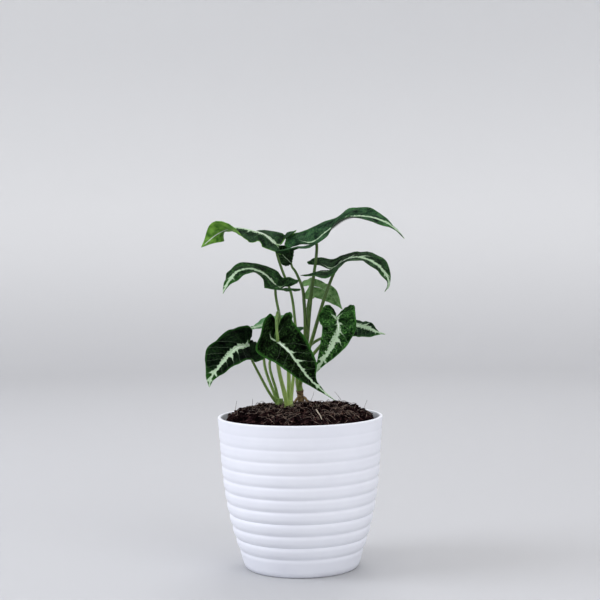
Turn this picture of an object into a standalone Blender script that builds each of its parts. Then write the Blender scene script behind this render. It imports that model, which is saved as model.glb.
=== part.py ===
"""Potted syngonium: three young arrowhead plantlets in a white grooved pot.

Metres, +Z up, the table at z = 0 and the pot's axis on Z. The front, with the hanging leaf, looks along -Y.
Sizes come from the photo, taking the rim as 120 mm across.
"""

import math
import random

import bmesh
import bpy
import numpy as np
from mathutils import Vector

MM = 0.001

# Pot
POT_HEIGHT = 110.0
RIM_RADIUS = 60.0
LIP_WIDTH = 2.4
FOOT_RADIUS = 39.5
WALL = 2.2
FLOOR = 3.0
GROOVES = 11
GROOVE_TOP = 101.3
GROOVE_PITCH = 8.75
GROOVE_DEPTH = 0.9
RIB_SWELL = 0.3
POT_STEPS = 48

# Soil
GAP = 0.3
SOIL_EDGE_Z = 106.0
SOIL_CROWN_Z = 117.5
SOIL_LUMP = 1.1
HOLE_DEPTH = 9.0

# Leaves and stalks
BLADE = 0.7
LEAF_RAYS = 16
LEAF_STEPS = 3
STALK_POINTS = 11


def clear_scene():
    for obj in list(bpy.data.objects):
        bpy.data.objects.remove(obj, do_unlink=True)


def new_collection(name, hidden=False):
    collection = bpy.data.collections.new(name)
    bpy.context.scene.collection.children.link(collection)
    collection.hide_render = hidden
    return collection


def material(name, colour, roughness):
    made = bpy.data.materials.new(name)
    made.use_nodes = True
    shader = made.node_tree.nodes["Principled BSDF"]
    shader.inputs["Base Color"].default_value = (*colour, 1.0)
    shader.inputs["Roughness"].default_value = roughness
    made.diffuse_color = (*colour, 1.0)
    return made


def add_mesh(name, mesh, collection, surface=None):
    obj = bpy.data.objects.new(name, mesh)
    collection.objects.link(obj)
    if surface:
        mesh.materials.clear()
        mesh.materials.append(surface)
    return obj


def apply_modifiers(obj):
    """The evaluated mesh becomes the object's own."""
    graph = bpy.context.evaluated_depsgraph_get()
    graph.update()
    mesh = bpy.data.meshes.new_from_object(obj.evaluated_get(graph))
    old = obj.data
    obj.modifiers.clear()
    obj.data = mesh
    bpy.data.meshes.remove(old)


def shade_round(mesh, degrees):
    """Smooth shading, except over edges sharper than this."""
    mesh.shade_smooth()
    mesh.set_sharp_from_angle(angle=math.radians(degrees))


def boolean(obj, operation, collection):
    modifier = obj.modifiers.new(operation.title(), "BOOLEAN")
    modifier.operation = operation
    modifier.operand_type = "COLLECTION"
    modifier.collection = collection
    modifier.solver = "EXACT"
    apply_modifiers(obj)


def empty_collection(collection):
    for obj in list(collection.objects):
        bpy.data.objects.remove(obj, do_unlink=True)


# Pot: one turned profile


def taper(z):
    """Outer radius of the plain wall: almost straight under the rim, drawn in more towards the foot."""
    heights = [0.0, 4.0, 12.0, 20.0, 28.0, 36.0, 44.0, 52.0, 60.0, 75.0, 91.0, POT_HEIGHT]
    radii = [41.6, 42.6, 44.9, 47.4, 49.8, 51.8, 53.5, 54.8, 56.0, 57.5, 58.6, RIM_RADIUS]
    return float(np.interp(z, heights, radii))


def pot_profile():
    outer = [
        (RIM_RADIUS - LIP_WIDTH + 0.3, POT_HEIGHT),
        (RIM_RADIUS - 0.4, POT_HEIGHT),
        (RIM_RADIUS, POT_HEIGHT - 0.6),
    ]
    for i in range(GROOVES):
        z = GROOVE_TOP - i * GROOVE_PITCH
        if i:
            middle = z + GROOVE_PITCH / 2
            outer.append((taper(middle) + RIB_SWELL, middle))
        depth = GROOVE_DEPTH * min(1.0, 0.45 + 0.12 * i)
        outer.append((taper(z + 1.4), z + 1.4))
        outer.append((taper(z) - depth, z))
        outer.append((taper(z - 1.4), z - 1.4))
    outer += [(taper(6.0), 6.0), (41.9, 2.4), (FOOT_RADIUS + 1.1, 0.5), (FOOT_RADIUS, 0.0)]
    outer.append((0.0, 0.0))
    inner = [(0.0, FLOOR), (40.0 - WALL, FLOOR)]
    for z in (14.0, 38.0, 62.0, 86.0):
        inner.append((taper(z) - GROOVE_DEPTH - WALL, z))
    inner.append((RIM_RADIUS - LIP_WIDTH - 0.3, POT_HEIGHT - 2.0))
    inner.append((RIM_RADIUS - LIP_WIDTH, POT_HEIGHT - 0.4))
    return outer, inner


def inner_radius(z):
    """Radius of the pot's inside at height z."""
    _, inner = pot_profile()
    return float(np.interp(z, [p[1] for p in inner[1:]], [p[0] for p in inner[1:]]))


def build_pot(collection, surface):
    outer, inner = pot_profile()
    points = outer + inner
    mesh = bpy.data.meshes.new("pot")
    edges = [(i, i + 1) for i in range(len(outer) - 1)]
    start = len(outer)
    edges += [(i, i + 1) for i in range(start, len(points) - 1)]
    edges.append((len(points) - 1, 0))
    mesh.from_pydata([(r * MM, 0.0, z * MM) for r, z in points], edges, [])
    pot = add_mesh("pot", mesh, collection, surface)
    turn = pot.modifiers.new("Turn", "SCREW")
    turn.axis = "Z"
    turn.steps = POT_STEPS
    turn.render_steps = POT_STEPS
    turn.use_merge_vertices = True
    turn.merge_threshold = 0.0001
    turn.use_smooth_shade = True
    apply_modifiers(pot)
    tidy(pot.data, 0.01)
    shade_round(pot.data, 35)
    return pot


def tidy(mesh, weld):
    """Coincident points welded, and every face turned outwards."""
    bm = bmesh.new()
    bm.from_mesh(mesh)
    bmesh.ops.remove_doubles(bm, verts=bm.verts, dist=weld * MM)
    bmesh.ops.recalc_face_normals(bm, faces=bm.faces)
    bm.to_mesh(mesh)
    bm.free()


# Soil: a mound with lumps, closed at the sides and below


def soil_height(x, y):
    r = math.hypot(x, y)
    heights = [SOIL_CROWN_Z, 116.6, 115.0, 113.0, 110.0, SOIL_EDGE_Z]
    dome = float(np.interp(r, [0, 20, 36, 46, 52, 57], heights))
    clump = 3.0 * math.exp(-((x - 29) ** 2 + (y - 12) ** 2) / 60.0)
    front = -1.5 * max(0.0, -y / 57.0) ** 2
    return dome + clump + front


def build_soil(collection, surface, holes):
    rng = random.Random(7)
    rings = [7.0, 14.0, 21.0, 28.0, 35.0, 42.0, 48.0, 53.0]
    sectors = 44
    bm = bmesh.new()
    centre = bm.verts.new((0, 0, soil_height(0, 0) * MM))
    rows = []
    for i, r in enumerate(rings):
        row = []
        for k in range(sectors):
            angle = math.tau * (k + 0.5 * (i % 2)) / sectors
            x = r * math.cos(angle)
            y = r * math.sin(angle)
            z = soil_height(x, y) + rng.uniform(-SOIL_LUMP, SOIL_LUMP)
            row.append(bm.verts.new((x * MM, y * MM, z * MM)))
        rows.append(row)
    for z in (SOIL_EDGE_Z, 62.0, 14.0, FLOOR + GAP):
        r = inner_radius(z) - GAP - 0.15
        row = []
        for k in range(sectors):
            angle = math.tau * k / sectors
            row.append(bm.verts.new((r * math.cos(angle) * MM, r * math.sin(angle) * MM, z * MM)))
        rows.append(row)
    for k in range(sectors):
        bm.faces.new((centre, rows[0][k], rows[0][(k + 1) % sectors]))
    for i, (a, b) in enumerate(zip(rows, rows[1:])):
        for k in range(sectors):
            n = (k + 1) % sectors
            odd = i % 2 and i < len(rings)
            if odd:
                bm.faces.new((a[k], b[n], a[n]))
                bm.faces.new((a[k], b[k], b[n]))
            else:
                bm.faces.new((a[k], b[k], a[n]))
                bm.faces.new((b[k], b[n], a[n]))
    bm.faces.new(list(reversed(rows[-1])))
    bmesh.ops.recalc_face_normals(bm, faces=bm.faces)
    mesh = bpy.data.meshes.new("potting_mix")
    bm.to_mesh(mesh)
    bm.free()
    soil = add_mesh("potting_mix", mesh, collection, surface)
    boolean(soil, "DIFFERENCE", holes)
    shade_round(soil.data, 60)
    return soil


def add_hole(collection, x, y, radius, bottom):
    """A plain round hole for a stalk's foot, as a cutter."""
    top = 140.0
    bm = bmesh.new()
    bmesh.ops.create_cone(
        bm, cap_ends=True, segments=14, radius1=radius * MM, radius2=radius * MM, depth=(top - bottom) * MM
    )
    bmesh.ops.translate(bm, verts=bm.verts, vec=Vector((x, y, (top + bottom) / 2)) * MM)
    mesh = bpy.data.meshes.new("hole")
    bm.to_mesh(mesh)
    bm.free()
    hole = add_mesh("hole", mesh, collection)
    hole.display_type = "WIRE"
    hole.hide_render = True


# Curves through hand-placed points


def smooth_path(points, count):
    """A smooth curve through the points, its slopes weighed by their distances so that none overshoots."""
    p = np.asarray(points, float)
    steps = np.diff(np.vstack([2 * p[0] - p[1], p, 2 * p[-1] - p[-2]]), axis=0)
    gaps = np.linalg.norm(steps, axis=1, keepdims=True)
    slopes = (gaps[:-1] * steps[1:] / gaps[1:] + gaps[1:] * steps[:-1] / gaps[:-1]) / (gaps[:-1] + gaps[1:])
    spans = len(p) - 1
    out = []
    for u in np.linspace(0, spans, count):
        i = min(int(u), spans - 1)
        f = u - i
        leaving, arriving = slopes[i] * gaps[i + 1], slopes[i + 1] * gaps[i + 1]
        square = 3 * (p[i + 1] - p[i]) - 2 * leaving - arriving
        cube = 2 * (p[i] - p[i + 1]) + leaving + arriving
        out.append(p[i] + leaving * f + square * f**2 + cube * f**3)
    return np.array(out)


def unit(v):
    return v / np.maximum(np.linalg.norm(v, axis=-1, keepdims=True), 1e-9)


# Leaf: an arrow-shaped blade with two back lobes, laid out flat, then bent along its midrib

# Half outline from the stalk's notch round the lobe to the tip: along the midrib in blade lengths (in lobe
# lengths where negative), then across in half widths.
ARROW = [
    (0.0, 0.0), (-0.30, 0.10), (-0.66, 0.27), (-0.93, 0.46), (-1.0, 0.62),
    (-0.84, 0.80), (-0.45, 0.95), (0.04, 1.0), (0.18, 0.93), (0.34, 0.78),
    (0.50, 0.60), (0.66, 0.41), (0.80, 0.24), (0.91, 0.105), (1.0, 0.0),
]
# The same for a young blade, which has no lobes yet
YOUNG = [
    (0.0, 0.0), (0.02, 0.22), (0.10, 0.58), (0.26, 0.92), (0.42, 1.0),
    (0.60, 0.86), (0.78, 0.54), (0.91, 0.22), (1.0, 0.0),
]


def leaf_frame(leaf):
    """The midrib as a function: distance from the stalk -> point, direction, upward normal, left."""
    rib = smooth_path(leaf["rib"], 120)
    arc = np.r_[0, np.cumsum(np.linalg.norm(np.diff(rib, axis=0), axis=1))]
    ahead = unit(np.gradient(rib, arc, axis=0))
    faces = unit(np.array(leaf["faces"], float))
    keys = np.linspace(0, arc[-1], len(faces))

    def at(s):
        on = np.clip(s, 0, arc[-1])
        point = np.stack([np.interp(on, arc, rib[:, k]) for k in range(3)], -1)
        along = unit(np.stack([np.interp(on, arc, ahead[:, k]) for k in range(3)], -1))
        normal = np.stack([np.interp(on, keys, faces[:, k]) for k in range(3)], -1)
        normal = unit(normal - (normal * along).sum(-1, keepdims=True) * along)
        return point, along, normal, np.cross(normal, along)

    return at, arc[-1]


def leaf_side(leaf, side, rays, steps):
    """Points of one half blade, [ray, step from midrib to edge]. side is +1 for left, -1 for right."""
    k = 0 if side > 0 else 1
    at, length = leaf_frame(leaf)
    width = leaf["width"][k]
    lobe = leaf["lobe"][k]
    half = np.array(YOUNG if leaf.get("young") else ARROW)
    flat = smooth_path(half, rays + 1)
    flat[0] = half[0]
    flat[-1] = half[-1]
    ray = np.arange(rays + 1)
    inner = rays * 5 / 14
    notch = leaf.get("notch", 1.0)
    flat[:, 1] = np.where(ray < inner, flat[:, 1] * (notch + (1 - notch) * ray / inner), flat[:, 1])
    s = np.where(flat[:, 0] < 0, flat[:, 0] * lobe, flat[:, 0] * length)
    t = np.maximum(flat[:, 1], 0)
    root = np.maximum.accumulate(np.maximum(0, s - 0.4 * t * sum(leaf["width"])))
    root[-1] = length
    full = leaf.get("full", (0, 0))[k]
    t = t * width * (1 + full * np.sin(np.pi * np.clip((flat[:, 0] - 0.3) / 0.7, 0, 1)))
    drawn_in = np.clip((flat[:, 0] - 0.5) / 0.25, 0, 1)
    t = t * (1 - leaf.get("drip", (0, 0))[k] * drawn_in**2 * (3 - 2 * drawn_in))
    step = np.linspace(0, 1, steps + 1)
    along_flat = root[:, None] + (s - root)[:, None] * step
    across = t[:, None] * step
    edge = (ray / rays)[:, None] * np.ones_like(step)

    point, _, normal, left = at(np.maximum(along_flat, 0))
    fold = np.array(leaf["fold"], float)[:, k]
    rise = np.radians(np.interp(along_flat / length, (0, 0.22, 1), fold))[..., None]
    offset = leaf.get("phase", 0.0) + (0.0 if side > 0 else 1.3)
    ripple = leaf["wave"] * np.sin(math.tau * 3 * edge + offset)
    ripple = ripple * step**2 * np.minimum(1, (1 - edge) * 6) * np.minimum(1, edge * 6)
    out = point + across[..., None] * (np.cos(rise) * left * side + np.sin(rise) * normal)
    out = out + ripple[..., None] * normal

    start, ahead, up, sideways = (v[0] for v in at(np.zeros(1)))
    lift = math.radians(leaf["fold"][0][k])
    corner = start + 0.62 * width * (math.cos(lift) * sideways * side + math.sin(lift) * up)
    aim = -ahead * lobe - up * lobe * 0.15
    if leaf.get("lobes"):
        aim = np.array(leaf["lobes"][k], float) - corner
    back = np.maximum(-along_flat, 0)[..., None] / lobe
    bend = np.clip(back / 0.5, 0, 1)
    bend = bend * bend * (3 - 2 * bend)
    return out + back * ((1 - bend) * -ahead * lobe + bend * aim)


def leaf_mesh(leaf, rays=LEAF_RAYS, steps=LEAF_STEPS):
    """The blade's upper face, split into triangles, with its upper side outwards."""
    bm = bmesh.new()
    for side in (1, -1):
        grid = leaf_side(leaf, side, rays, steps)
        verts = [[bm.verts.new(Vector(p) * MM) for p in row] for row in grid]
        for i in range(rays):
            for j in range(steps):
                quad = (verts[i][j], verts[i][j + 1], verts[i + 1][j + 1], verts[i + 1][j])
                bm.faces.new(quad if side > 0 else quad[::-1])
    bmesh.ops.remove_doubles(bm, verts=bm.verts, dist=0.02 * MM)
    bmesh.ops.dissolve_degenerate(bm, edges=bm.edges, dist=0.02 * MM)
    bmesh.ops.triangulate(bm, faces=bm.faces)
    bm.normal_update()
    at, length = leaf_frame(leaf)
    up = Vector(at(np.array([length * 0.4]))[2][0])
    middle = Vector(at(np.array([length * 0.4]))[0][0]) * MM
    nearest = min(bm.faces, key=lambda f: (f.calc_center_median() - middle).length)
    if nearest.normal.dot(up) < 0:
        bmesh.ops.reverse_faces(bm, faces=bm.faces)
    mesh = bpy.data.meshes.new(leaf["name"])
    bm.to_mesh(mesh)
    bm.free()
    return mesh


def build_leaf(leaf, collection, surface):
    obj = add_mesh(leaf["name"], leaf_mesh(leaf), collection, surface)
    shell = obj.modifiers.new("Thickness", "SOLIDIFY")
    shell.thickness = BLADE * MM
    shell.offset = -1
    shell.use_even_offset = False
    apply_modifiers(obj)
    shade_round(obj.data, 60)
    return obj


# Stalks


def tube(name, points, radii, collection, count=STALK_POINTS, sides=2):
    """A round rod through the points, its radius changing along it, with closed ends."""
    path = smooth_path(points, count)
    width = np.interp(np.linspace(0, 1, count), np.linspace(0, 1, len(radii)), radii)
    data = bpy.data.curves.new(name, "CURVE")
    data.dimensions = "3D"
    data.bevel_depth = MM
    data.bevel_resolution = sides
    data.use_fill_caps = True
    spline = data.splines.new("POLY")
    spline.points.add(count - 1)
    for knot, p, r in zip(spline.points, path, width):
        knot.co = (*(p * MM), 1.0)
        knot.radius = r
    curve = bpy.data.objects.new(name, data)
    collection.objects.link(curve)
    graph = bpy.context.evaluated_depsgraph_get()
    mesh = bpy.data.meshes.new_from_object(curve.evaluated_get(graph))
    bpy.data.objects.remove(curve, do_unlink=True)
    tidy(mesh, 0.01)
    obj = add_mesh(name, mesh, collection)
    return obj


def joined(name, rods, parts, work, surface):
    """The rods grown together as one body: one union of the first with the rest."""
    made = [tube(f"{name}_{i}", *rod, work) for i, rod in enumerate(rods)]
    body = made[0]
    work.objects.unlink(body)
    parts.objects.link(body)
    body.name = name
    boolean(body, "UNION", work)
    empty_collection(work)
    tidy(body.data, 0.005)
    shade_round(body.data, 60)
    body.data.materials.clear()
    body.data.materials.append(surface)
    return body


def stalk_to(leaf, *points, clear=0.7):
    """A stalk's points, ending with a short knee under the blade's notch, a hair below it."""
    at, _ = leaf_frame(leaf)
    start, _, up, _ = (v[0] for v in at(np.zeros(1)))
    end = start - up * (BLADE + GAP + clear)
    lean = unit(unit(np.array(points[-1]) - end) - 0.2 * up)
    return [*points, tuple(end + lean * 3.5), tuple(end)]


# Leaves, one entry each, in millimetres. rib runs from the stalk to the tip. faces are the directions that
# the upper side looks along it. Pairs are left then right, seen from above with the tip ahead. width is the
# half width, lobe the back lobe's length, lobes where the lobes end, fold how far each half is raised
# (degrees) at the notch, a fifth along and at the tip, full how much fuller than the plain outline the outer
# blade is, drip how much its tip is drawn in, notch how open the notch is.
LEAF_TOP_LEFT = dict(
    name="leaf_top_left",
    rib=[
        (-16, 0, 235), (-25, -2, 243), (-35, -6, 246), (-44, -10, 247.5),
        (-51, -14, 246.5), (-59, -18, 241.5), (-69, -20, 233),
    ],
    faces=[
        (0, -0.4, 0.92), (0, -0.26, 0.96), (0, -0.24, 0.97),
        (-0.1, -0.1, 0.95), (-0.2, 0.98, 0.1), (-0.2, 0.98, 0.1),
    ],
    width=(17, 19), lobe=(18, 19), fold=((14, 4), (-26, -18), (-10, -4)), full=(1.5, 0.35),
    lobes=((-12, 2, 227), (-2, 11, 244)), wave=1.4, phase=2.0,
)
LEAF_TOP_RIGHT = dict(
    name="leaf_top_right",
    rib=[(13, 1, 237), (24, -1, 246), (35, -5, 253), (54, -11, 253), (67, -16, 247), (76, -20, 238)],
    faces=[(0, -0.26, 0.98), (0, -0.16, 0.98), (0, -0.1, 0.99), (0.4, -0.15, 0.9)],
    width=(20, 18), lobe=(26, 28), fold=((18, 16), (18, -3), (16, -2)),
    lobes=((-10, 3, 234.5), (-15, -20, 228)), wave=2.0, phase=0.4,
)
LEAF_MID_LEFT = dict(
    name="leaf_mid_left",
    rib=[
        (-16, -16, 205), (-24, -19, 214), (-34, -24, 218),
        (-43, -30, 216), (-49, -36, 209), (-53, -40, 201),
    ],
    faces=[(0, -0.42, 0.9), (0, -0.28, 0.96), (-0.3, -0.25, 0.9), (-0.8, -0.4, 0.4)],
    width=(20, 20), lobe=(20, 22), fold=((34, 2), (-12, -2), (0, 2)), full=(0.3, 0.35),
    lobes=((1, -26, 202), (-1, -8, 207)), wave=1.5, phase=1.0,
)
LEAF_MID_RIGHT = dict(
    name="leaf_mid_right",
    rib=[
        (26, -10, 218), (33, -13, 223), (41, -17, 225), (52, -22, 222),
        (61, -27, 214), (64, -30, 206), (61, -32, 200),
    ],
    faces=[(0, -0.36, 0.93), (0, -0.3, 0.95), (0.3, -0.25, 0.9), (0.85, -0.4, 0.3), (0.9, -0.3, -0.2)],
    width=(20, 20), lobe=(24, 26), fold=((-4, 9), (2, 0), (4, 0)), full=(0.3, 0.1),
    lobes=((6, 9, 222), (2, -16, 212)), wave=1.5,
)
LEAF_YOUNG = dict(
    name="leaf_young",
    rib=[(-5, 14, 221), (-10, 12, 226), (-16, 9, 234)],
    faces=[(0.5, -0.7, 0.3), (0.5, -0.7, 0.3)],
    width=(9, 9), lobe=(6, 6), fold=((14, 14), (14, 14), (14, 14)), wave=0.5, young=True,
)
LEAF_RIGHT_FRONT = dict(
    name="leaf_right_front",
    rib=[(27, -24, 181), (28, -28, 176), (26, -33, 169), (22, -38, 162), (15, -43, 152), (11, -46, 145)],
    faces=[(0, -0.8, 0.6), (-0.05, -0.9, 0.42), (-0.1, -0.92, 0.36), (-0.1, -0.95, 0.3)],
    width=(13.5, 13.5), lobe=(16, 18), fold=((14, 18), (14, 18), (14, 18)), full=(0.2, 0.1), notch=0.6,
    lobes=((37, -14, 191), (21, -16, 191)), wave=1.0,
)
LEAF_RIGHT_UPPER = dict(
    name="leaf_right_upper",
    rib=[(9, 15, 204), (17, 10, 202), (25, 5, 196), (32, 0, 187)],
    faces=[(0.1, -0.97, 0.25), (0.1, -0.95, 0.3), (0.2, -0.94, 0.3)],
    width=(6, 11), lobe=(10, 8), fold=((6, 10), (6, 10), (6, 10)), full=(0.7, 0.3),
    lobes=((1, 22, 205), (5, 19, 198)), wave=0.8,
)
LEAF_RIGHT_LOW = dict(
    name="leaf_right_low",
    rib=[(37, 12, 176), (43, 7, 175), (50, 1, 173.5), (56, -5, 171), (62, -10, 169.5)],
    faces=[(0.25, -0.75, 0.66), (0.25, -0.75, 0.66), (0.3, -0.7, 0.66)],
    width=(8, 15), lobe=(10, 10), fold=((-4, -4), (-6, -8), (-6, -10)), full=(0.1, 0.3),
    wave=1.2, phase=1.0,
)
LEAF_FRONT = dict(
    name="leaf_front",
    rib=[(-15, -38, 167), (-8, -43, 161), (-1, -49, 152), (6, -54, 143), (15, -58, 135), (24, -61, 128)],
    faces=[(0.1, -0.86, 0.5), (0.15, -0.84, 0.5), (0.2, -0.84, 0.5), (0.2, -0.8, 0.5)],
    width=(17, 18), lobe=(22, 24), fold=((10, 14), (10, 14), (10, 14)), full=(0.1, -0.1), drip=(0.75, 0.45),
    notch=0.3, lobes=((-9, -30, 187), (-22, -28, 185)), wave=1.3,
)
LEAF_LOW_LEFT = dict(
    name="leaf_low_left",
    rib=[
        (-38, -20, 163), (-44, -26, 162), (-50, -32, 157),
        (-57, -38, 149), (-62, -42, 142), (-63, -44, 136),
    ],
    faces=[(-0.1, -0.84, 0.54), (-0.2, -0.84, 0.5), (-0.3, -0.86, 0.4), (-0.4, -0.88, 0.2)],
    width=(18, 17), lobe=(12, 14), fold=((8, 6), (8, 6), (8, 6)), full=(0.1, 0.62),
    lobes=((-31, -15, 166), (-34, -10, 174)), wave=1.3,
)
LEAF_LEFT_BEHIND = dict(
    name="leaf_left_behind",
    rib=[(-14, 15, 178), (-22, 12, 177), (-30, 9, 175), (-38, 6, 174)],
    faces=[(0, -0.45, 0.9), (0, -0.5, 0.86), (-0.2, -0.6, 0.8)],
    width=(10, 9), lobe=(8, 8), fold=((6, 6), (6, 6), (6, 6)), wave=0.8,
)
LEAF_BACK = dict(
    name="leaf_back",
    rib=[(-9, 33, 172), (-12, 48, 171), (-16, 62, 163), (-19, 73, 149)],
    faces=[(0, 0.35, 0.93), (0, 0.5, 0.85), (0, 0.8, 0.5)],
    width=(17, 17), lobe=(11, 11), fold=((6, 6), (6, 6), (6, 6)), wave=1.2,
)
LEAVES = [
    LEAF_TOP_LEFT, LEAF_TOP_RIGHT, LEAF_MID_LEFT, LEAF_MID_RIGHT, LEAF_YOUNG, LEAF_RIGHT_FRONT,
    LEAF_RIGHT_UPPER, LEAF_RIGHT_LOW, LEAF_FRONT, LEAF_LOW_LEFT, LEAF_LEFT_BEHIND, LEAF_BACK,
]

# Each plantlet's foot: x, y, radius and top height of the crown that its stalks grow from
CROWN_LEFT = (-15.0, 5.0, 3.3)
CROWN_FRONT = (-8.0, -7.0, 3.5)
CROWN_RIGHT = (1.0, 19.0, 3.0)
NODE_Z = 126.5


def crown_rod(crown, bottom, top, narrow=0.75):
    x, y, r = crown
    return ([(x, y, bottom), (x, y, bottom + (top - bottom) * 0.6), (x, y, top)], (r, r, r * narrow))


def stalks_left():
    low_left = [(-15, 5, 112), (-15.8, 4.7, 117), (-20, 3, 123), (-30, -2, 142), (-35, -8, 153)]
    behind = [(-15, 5.5, 112), (-16, 6, 118), (-19, 7, 126), (-26, 10, 152), (-22, 13, 168)]
    back = [(-15, 5.5, 112), (-15.5, 6.5, 118), (-17, 9, 126), (-22, 16, 148), (-16, 25, 162)]
    return [
        crown_rod(CROWN_LEFT, soil_height(-15, 5) - HOLE_DEPTH + GAP, 122.0),
        (stalk_to(LEAF_LOW_LEFT, *low_left), (2.0, 1.1, 0.9, 0.8)),
        (stalk_to(LEAF_LEFT_BEHIND, *behind), (1.9, 1.1, 0.9, 0.8)),
        (stalk_to(LEAF_BACK, *back), (1.9, 1.1, 0.9, 0.8)),
    ]


def stalks_front():
    over = [
        (-8.5, -7.5, 112), (-9, -8, 118), (-11, -10, 127), (-15, -14, 146), (-16, -19, 170),
        (-14.5, -24, 183), (-14.5, -30, 187), (-15.5, -36, 183), (-15.5, -38.6, 175), (-15, -38.6, 168.5),
    ]
    mid_left = [(-8, -6.5, 112), (-8, -6, 122), (-8, -8, 144), (-10, -12, 162), (-14, -16, 185)]
    top_left = [
        (-7.5, -6.5, 112), (-7, -6, 118), (-6, -4, 127), (-4, -1, 142),
        (-2, 3, 161), (-3, 6, 180), (-6, 6, 201), (-11, 3, 214),
    ]
    return [
        crown_rod(CROWN_FRONT, soil_height(-8, -7) - HOLE_DEPTH + GAP, 122.0),
        (over, (2.3, 1.5, 1.2, 1.1, 1.1)),
        (stalk_to(LEAF_MID_LEFT, *mid_left), (2.2, 1.3, 1.0, 0.9)),
        (stalk_to(LEAF_TOP_LEFT, *top_left), (2.0, 1.1, 1.0, 0.9)),
    ]


def stalks_right():
    young = [
        (-0.5, 16.5, 130), (1, 14, 145), (4, 10, 162), (4, 8, 192),
        (3, 10, 202), (0.5, 12, 209), (-3, 13.5, 216),
    ]
    top_right = [
        (-0.3, 16.7, 130), (3, 15, 147), (5.5, 12, 162), (8, 5, 187),
        (10, 1, 204), (11.5, -3, 214), (13.2, -3, 226),
    ]
    right_upper = [(-0.4, 17, 130), (3, 18, 148), (5, 17.5, 164), (7, 17, 190)]
    mid_right = [(-0.2, 16, 130), (3, 10, 148), (8, 4, 161), (14, -6, 181), (19, -11, 197), (24, -11, 210)]
    right_low = [(-0.2, 16.5, 130), (3, 13, 150), (8, 11, 160), (18, 11, 166), (29, 13, 168)]
    right_front = [(-0.2, 16, 130), (3, 7, 143), (9, 0, 153), (16, -8, 162), (23, -16, 171)]
    return [
        ([(0.0, 17.5, NODE_Z + GAP), (-1.0, 16.5, 133), (-1.0, 16.0, 142)], (2.5, 2.4, 1.9)),
        (stalk_to(LEAF_YOUNG, *young), (1.8, 1.3, 1.0, 0.8)),
        (stalk_to(LEAF_TOP_RIGHT, *top_right), (1.8, 1.4, 1.1, 1.1)),
        (stalk_to(LEAF_RIGHT_UPPER, *right_upper), (1.8, 1.3, 1.0, 0.9)),
        (stalk_to(LEAF_MID_RIGHT, *mid_right), (1.8, 1.4, 1.1, 1.0)),
        (stalk_to(LEAF_RIGHT_LOW, *right_low), (1.8, 1.2, 0.9, 0.8)),
        (stalk_to(LEAF_RIGHT_FRONT, *right_front), (1.8, 1.3, 1.0, 0.9)),
    ]


ROOTS = [
    ((-0.5, 17.5, 122.0), (-3.2, 15.0, 119.0), (-4.0, 14.0, 113.0)),
    ((0.8, 17.8, 122.0), (4.8, 15.8, 119.5), (5.5, 15.0, 113.0)),
    ((0.6, 19.0, 122.0), (4.4, 23.4, 119.5), (5.0, 24.5, 113.0)),
]


def stem_base():
    """The brown stub below the lowest node, with its stilt roots."""
    x, y, r = CROWN_RIGHT
    bottom = soil_height(x, y) - HOLE_DEPTH + GAP
    rods = [([(x, y, bottom), (x - 0.3, y - 0.5, 119), (0.0, 17.5, NODE_Z)], (r - 0.6, r - 0.4, 2.7))]
    rods += [(list(root), (1.0, 0.9, 0.8)) for root in ROOTS]
    return rods


def main():
    clear_scene()
    parts = new_collection("potted_syngonium")
    cutters = new_collection("cutters", hidden=True)
    work = new_collection("work", hidden=True)

    pot_white = material("white_plastic", (0.82, 0.82, 0.86), 0.35)
    soil_brown = material("potting_mix", (0.05, 0.03, 0.02), 0.95)
    stem_brown = material("stem_brown", (0.20, 0.13, 0.06), 0.8)
    stalk_green = material("stalk_green", (0.28, 0.36, 0.12), 0.5)
    leaf_green = material("leaf_green", (0.02, 0.07, 0.02), 0.55)
    leaf_fresh = material("leaf_fresh", (0.06, 0.18, 0.03), 0.5)

    build_pot(parts, pot_white)
    for x, y, r in (CROWN_LEFT, CROWN_FRONT, CROWN_RIGHT):
        add_hole(cutters, x, y, r + 1.0, soil_height(x, y) - HOLE_DEPTH)
    for root in ROOTS:
        x, y, z = root[-1]
        add_hole(cutters, x, y, 2.3, z - 0.6)
    build_soil(parts, soil_brown, cutters)
    empty_collection(cutters)

    joined("stem_base", stem_base(), parts, work, stem_brown)
    joined("stalks_left", stalks_left(), parts, work, stalk_green)
    joined("stalks_front", stalks_front(), parts, work, stalk_green)
    joined("stalks_right", stalks_right(), parts, work, stalk_green)
    fresh = (LEAF_RIGHT_UPPER, LEAF_LEFT_BEHIND)
    for leaf in LEAVES:
        build_leaf(leaf, parts, leaf_fresh if leaf in fresh else leaf_green)


main()
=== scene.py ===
# %% [markdown]
# # A potted syngonium
#
# This lesson dresses a young arrowhead plant in a white grooved pot. The measured model gives every
# size and place. Here each part gets its real surface: moulded plastic, loose potting mix, waxy stalks
# and velvety leaves with a pale feathered midrib.

# %% Load the measured model
import math
import random

import bpy
import numpy as np
from mathutils import Matrix, Vector, noise


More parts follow.
